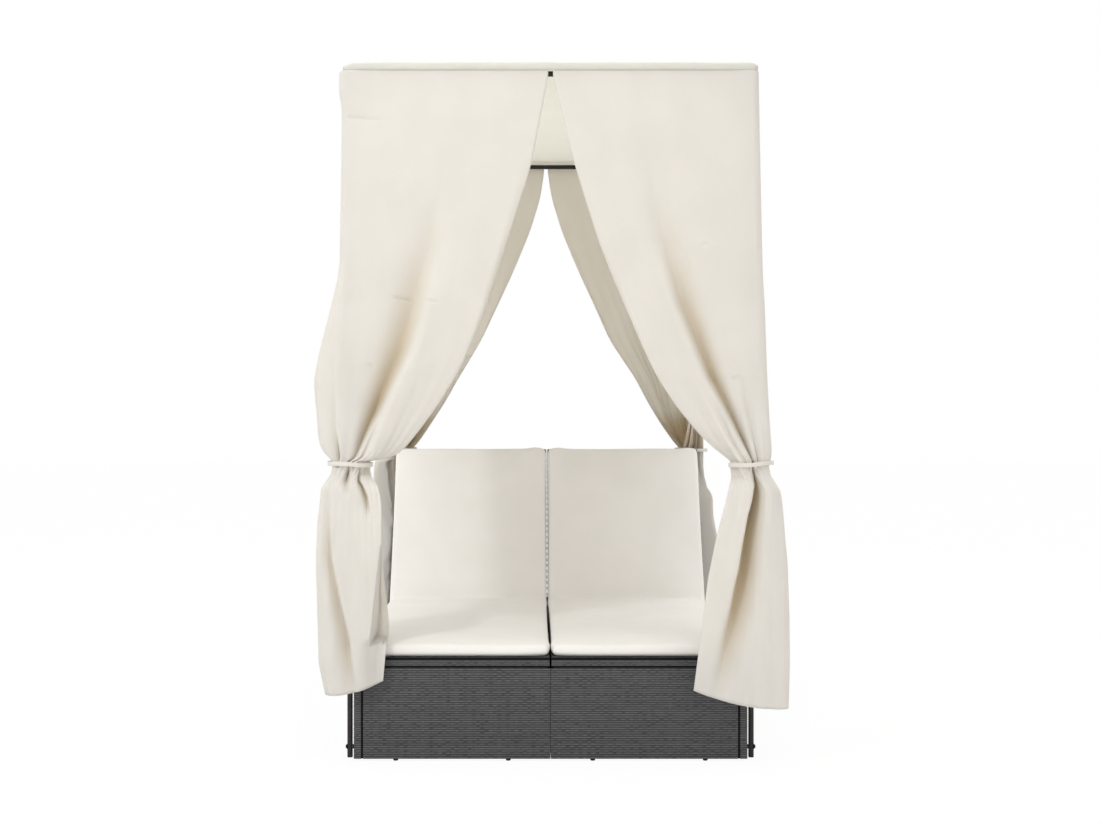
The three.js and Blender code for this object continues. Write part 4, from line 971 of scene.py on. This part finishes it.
def dress_backrests(strand):
    """Woven edges and backs of the raised backrests."""
    low, high = 10.5, BACKREST_LENGTH
    edge = (high - low, BACK_EDGE_HEIGHT)
    to_foot = [-v for v in BACK_ALONG]
    for side_name, side in SIDES:
        middle, body, name = side * LOUNGER_X, side_name + "_backrest", side_name + "_back"
        # to face outwards, an edge on a lounger's right runs to its head, and one on its left to its foot
        outer, inner = ((low, BACK_ALONG), (high, to_foot))[::side]
        for part, x, (start, along), seed, bulge in (
                ("outer", BASE_HALF_WIDTH, outer, 31, 0), ("inner", HALF_GAP, inner, 35, 2.45)):
            make_weave(f"{name}_{part}_weave", back_place(side * x, start, BACK_EDGE_BOTTOM), along, BACK_UP,
                       edge, strand, seed + side, body, bulge)
        make_weave(name + "_top_weave", back_place(middle + HALF_LOUNGER, high, BACK_EDGE_BOTTOM), (-1, 0, 0),
                   BACK_UP, (LOUNGER_WIDTH, BACK_EDGE_HEIGHT), strand, 39 + side, body)
        make_weave(name + "_deck_weave", back_place(middle - DECK_HALF_WIDTH, high - 20, 8.8), (1, 0, 0),
                   to_foot, (2 * DECK_HALF_WIDTH, high - low - 40), strand, 43 + side, body)


# Pads

PAD_CREASE = 0.64
PAD_BOTTOM = 14.4
PAD_THICKNESS = 38
PAD_FOOT, PAD_HEAD = -1195, 645
PAD_SWELLING = 9
CLOTH_STEPS = 20


def pad_place(across, along, level, side):
    """Places about the hinge of points given by shares across (-1 to 1), along (0 at the foot end
    to 1 at the head end) and up (0 to 1)."""
    on_seat = along < PAD_CREASE
    turned = np.abs(2 * level - 1)
    near_end = np.minimum(along / 0.018, (1 - along) / 0.011).clip(0, 1)
    edge_round = 8 * turned ** 3
    back_share = (along - PAD_CREASE) / (1 - PAD_CREASE)
    waist = 1.5 * np.sin(math.pi * np.where(on_seat, along / PAD_CREASE, back_share))
    corner = 1 - 0.018 * (1 - near_end) * np.abs(across) ** 6
    x = across * (HALF_LOUNGER - edge_round - waist) * corner
    sag = 1 - np.maximum(np.abs(across) ** 10, (1 - near_end) ** 2) * 0.1
    up = PAD_BOTTOM + PAD_THICKNESS * level * sag
    up = up + level * (2.0 * np.sin(x / 61 + 3 * along * side) * np.sin(9 * along + side)
                       + 1.5 * np.cos(x / 97 + 17 * along))
    bend = up * math.tan(RECLINE / 2)
    # the foot end's lower edge is drawn back and lies in shade
    drawn_back = 4 * (1 - level / 0.3).clip(0) ** 1.5
    foot = PAD_FOOT + edge_round * 0.8 + 8 * (np.abs(across) ** 8) + drawn_back
    head = PAD_HEAD - edge_round * 0.8 - 2 * (np.abs(across) ** 8)
    # the cover stands up a little at the inner corners, and at the right pad's outer one
    inner = across * -side
    head = head + 7 * bell(inner, 0.88, 0.1) * level
    head = head + (7 * bell(inner, -0.9, 0.08) * level if side > 0 else 0)
    # the two pads touch near their foot ends and at the crease
    touch = 4.5 * bell(along, 0.035, 0.02) + 3.4 * bell(along, PAD_CREASE, np.where(on_seat, 0.035, 0.005))
    x = x - side * touch * (inner > 0.9) * level
    seat_y = lerp(foot, -bend, np.clip(along / PAD_CREASE, 0, 2))
    back_y = lerp(bend, head, back_share)
    seat = np.stack([x, seat_y, up], axis=1)
    back = np.stack([x, back_y * math.cos(RECLINE) - up * math.sin(RECLINE),
                     back_y * math.sin(RECLINE) + up * math.cos(RECLINE)], axis=1)
    return np.where(on_seat[:, None], seat, back)


def pad_grid():
    """Slab of quads from -1 to 1 across and along, foot end first, and from 0 to 1 upwards."""
    bm = bmesh.new()
    bmesh.ops.create_grid(bm, x_segments=54, y_segments=180, size=1)
    grown = bmesh.ops.extrude_face_region(bm, geom=bm.faces[:], use_keep_orig=True)
    top = [v for v in grown["geom"] if isinstance(v, bmesh.types.BMVert)]
    bmesh.ops.translate(bm, vec=(0, 0, 1), verts=top)
    upright = [e for e in bm.edges if abs(e.verts[0].co.z - e.verts[1].co.z) > 0.5]
    bmesh.ops.subdivide_edges(bm, edges=upright, cuts=4, use_grid_fill=True)
    bmesh.ops.recalc_face_normals(bm, faces=bm.faces[:])
    return bm


def inflate(thing, held):
    """Cloth filled to a low pressure, held where it lies on the deck, with its swelling capped."""
    mesh = thing.data
    before = coordinates(mesh)
    group = thing.vertex_groups.new(name="held")
    for number in np.nonzero(held > 0)[0]:
        group.add([int(number)], float(held[number]), "REPLACE")
    cloth = thing.modifiers.new("filling", "CLOTH")
    cloth.collision_settings.use_collision = False
    settings = cloth.settings
    settings.quality = 4
    settings.mass = 0.3
    settings.use_pressure = True
    settings.uniform_pressure_force = 4
    settings.vertex_group_mass = "held"
    settings.effector_weights.gravity = 0
    settings.tension_stiffness = settings.compression_stiffness = 12
    settings.bending_stiffness = 0.6
    scene = bpy.context.scene
    for step in range(CLOTH_STEPS):
        scene.frame_set(1 + step)
    after = coordinates(thing.evaluated_get(bpy.context.evaluated_depsgraph_get()).data)
    thing.modifiers.remove(cloth)
    thing.vertex_groups.remove(group)
    scene.frame_set(1)
    moved = after - before
    length = np.maximum(np.linalg.norm(moved, axis=1, keepdims=True), 1e-9)
    cap = PAD_SWELLING * MM
    set_coordinates(mesh, before + moved * (cap * np.tanh(length / cap) / length))


def make_pad(side_name, side, material):
    """One pad over seat and backrest, filled by a cloth simulation, with a sewn line at the crease."""
    mesh = mesh_from(pad_grid(), side_name + "_lounger_pad")
    place = coordinates(mesh)
    across, along, level = place[:, 0], (place[:, 1] + 1) / 2, place[:, 2]
    points = pad_place(across, along, level, side) + (side * LOUNGER_X, HINGE_Y, HINGE_Z)
    set_coordinates(mesh, points * MM)
    thing = piece(mesh, material, body=None)
    # held on the deck and round its walls, so that only the top swells
    crease = bell(along, PAD_CREASE, 0.012)
    wall = (np.abs(across) > 0.999) | (along < 0.001) | (along > 0.999)
    held = np.where((level < 0.3) | wall & (level < 0.9), 1.0, np.maximum(0.55 * crease, 0.9 * wall))
    inflate(thing, held)
    smoother = thing.modifiers.new("cloth_subdivision", "SUBSURF")
    smoother.levels = smoother.render_levels = 1
    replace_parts(thing, side_name + "_seat_pad", side_name + "_back_pad")
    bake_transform(thing)


# Floor and light

def make_floor():
    """Pale matt floor that keeps the shadow under the base and looks nearly white beyond it."""
    bm = bmesh.new()
    bmesh.ops.create_grid(bm, x_segments=2, y_segments=2, size=30)
    mesh = mesh_from(bm, "studio_floor")
    material, tree = new_material("studio_floor_paint")
    path = add(tree, "LightPath")
    axes = add(tree, "SeparateXYZ", {0: add(tree, "TexCoord").outputs["Object"]})
    # in metres from the middle, across and along, the shadow gives way to white
    beyond = []
    for axis, low, high in ((0, 0.53, 0.565), (1, 0.8, 0.88)):
        reach = add(tree, "Math", {0: axes.outputs[axis]}, operation="ABSOLUTE")
        beyond.append(add(tree, "MapRange", {"Value": reach, "From Min": low, "From Max": high}))
    clear = add(tree, "Math", {0: beyond[0], 1: beyond[1]}, operation="MAXIMUM")
    pale = add(tree, "Math", {0: path.outputs["Is Camera Ray"], 1: 0.94}, operation="MULTIPLY")
    seen = add(tree, "Math", {0: pale, 1: clear}, operation="MULTIPLY")
    matt = add(tree, "BsdfDiffuse", {"Color": linear("f6f6f6")})
    white = add(tree, "Emission", {"Color": (1, 1, 1, 1), "Strength": 1.0})
    finish_material(tree, add(tree, "MixShader", {0: seen, 1: matt, 2: white}))
    mesh.materials.append(material)
    floor = bpy.data.objects.new("studio_floor", mesh)
    bpy.context.scene.collection.objects.link(floor)


def light_world():
    """Soft even light, which shows as plain white to the camera and in reflections."""
    world = bpy.data.worlds.new("studio_white")
    world.use_nodes = True
    bpy.context.scene.world = world
    tree = world.node_tree
    tree.nodes.clear()
    path = add(tree, "LightPath")
    direct = add(tree, "Math", {0: path.outputs["Is Camera Ray"], 1: path.outputs["Is Glossy Ray"]},
                 operation="MAXIMUM")
    seen = add(tree, "Math", {0: direct, 1: path.outputs["Is Transmission Ray"]}, operation="MAXIMUM")
    soft = add(tree, "Background", {"Color": (1, 0.986, 0.963, 1), "Strength": 1.0})
    white = add(tree, "Background", {"Color": (1, 1, 1, 1), "Strength": 1.0})
    mix = add(tree, "MixShader", {0: seen, 1: soft, 2: white})
    add(tree, "OutputWorld", {"Surface": mix})


def add_lamp(name, place, aim, size, power):
    lamp = bpy.data.lights.new(name, "AREA")
    lamp.shape = "RECTANGLE"
    lamp.size, lamp.size_y = size
    lamp.energy = power
    lamp.color = (0.95, 0.98, 1)
    thing = bpy.data.objects.new(name, lamp)
    thing.location = place
    thing.rotation_euler = (Vector(aim) - Vector(place)).to_track_quat("-Z", "Y").to_euler()
    bpy.context.scene.collection.objects.link(thing)


# Assembly

bpy.context.scene.view_settings.view_transform = "Standard"
aim_camera()
light_world()
add_lamp("key_softbox", (-2.2, -3.85, 3.4), (-0.2, 0.3, 0.6), (0.4, 0.4), 44)
add_lamp("top_softbox", (0, 0, 4.6), (0, 0, 0), (3.5, 4.0), 90)
make_floor()

strand = woven_strand_material()
panel = woven_panel_material()
steel = powder_coat_material()
shadow_strip_finish = painted_shadow_strip_material()
bolt = zinc_bolt_material()
plastic = foot_material()
curtain = cloth_material("woven_polyester_curtain", "f4f2ef", "efede9", 0.25, 0.42, "f7f3e9")
roof = cloth_material("coated_polyester_roof", "f3f2ee", "f0efeb", 0.2, 0.54, "fbfaf6")
pad_cover = pad_material()

for name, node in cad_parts.items():
    finish = panel if "panel" in name or "frame" in name else bolt
    for slot in node.material_slots:
        slot.material = finish

for corner, style in CURTAIN_STYLES.items():
    make_curtain(corner, style, curtain)
make_roof(roof)
make_canopy_frame(steel, bolt)
for side_name, side in SIDES:
    make_feet(side_name, side * LOUNGER_X, plastic)
    make_bail(side_name, side * LOUNGER_X, steel)
    make_rod(side_name, side * LOUNGER_X, bolt)
    make_pad(side_name, side, pad_cover)
dress_base(strand, shadow_strip_finish)
dress_backrests(strand)
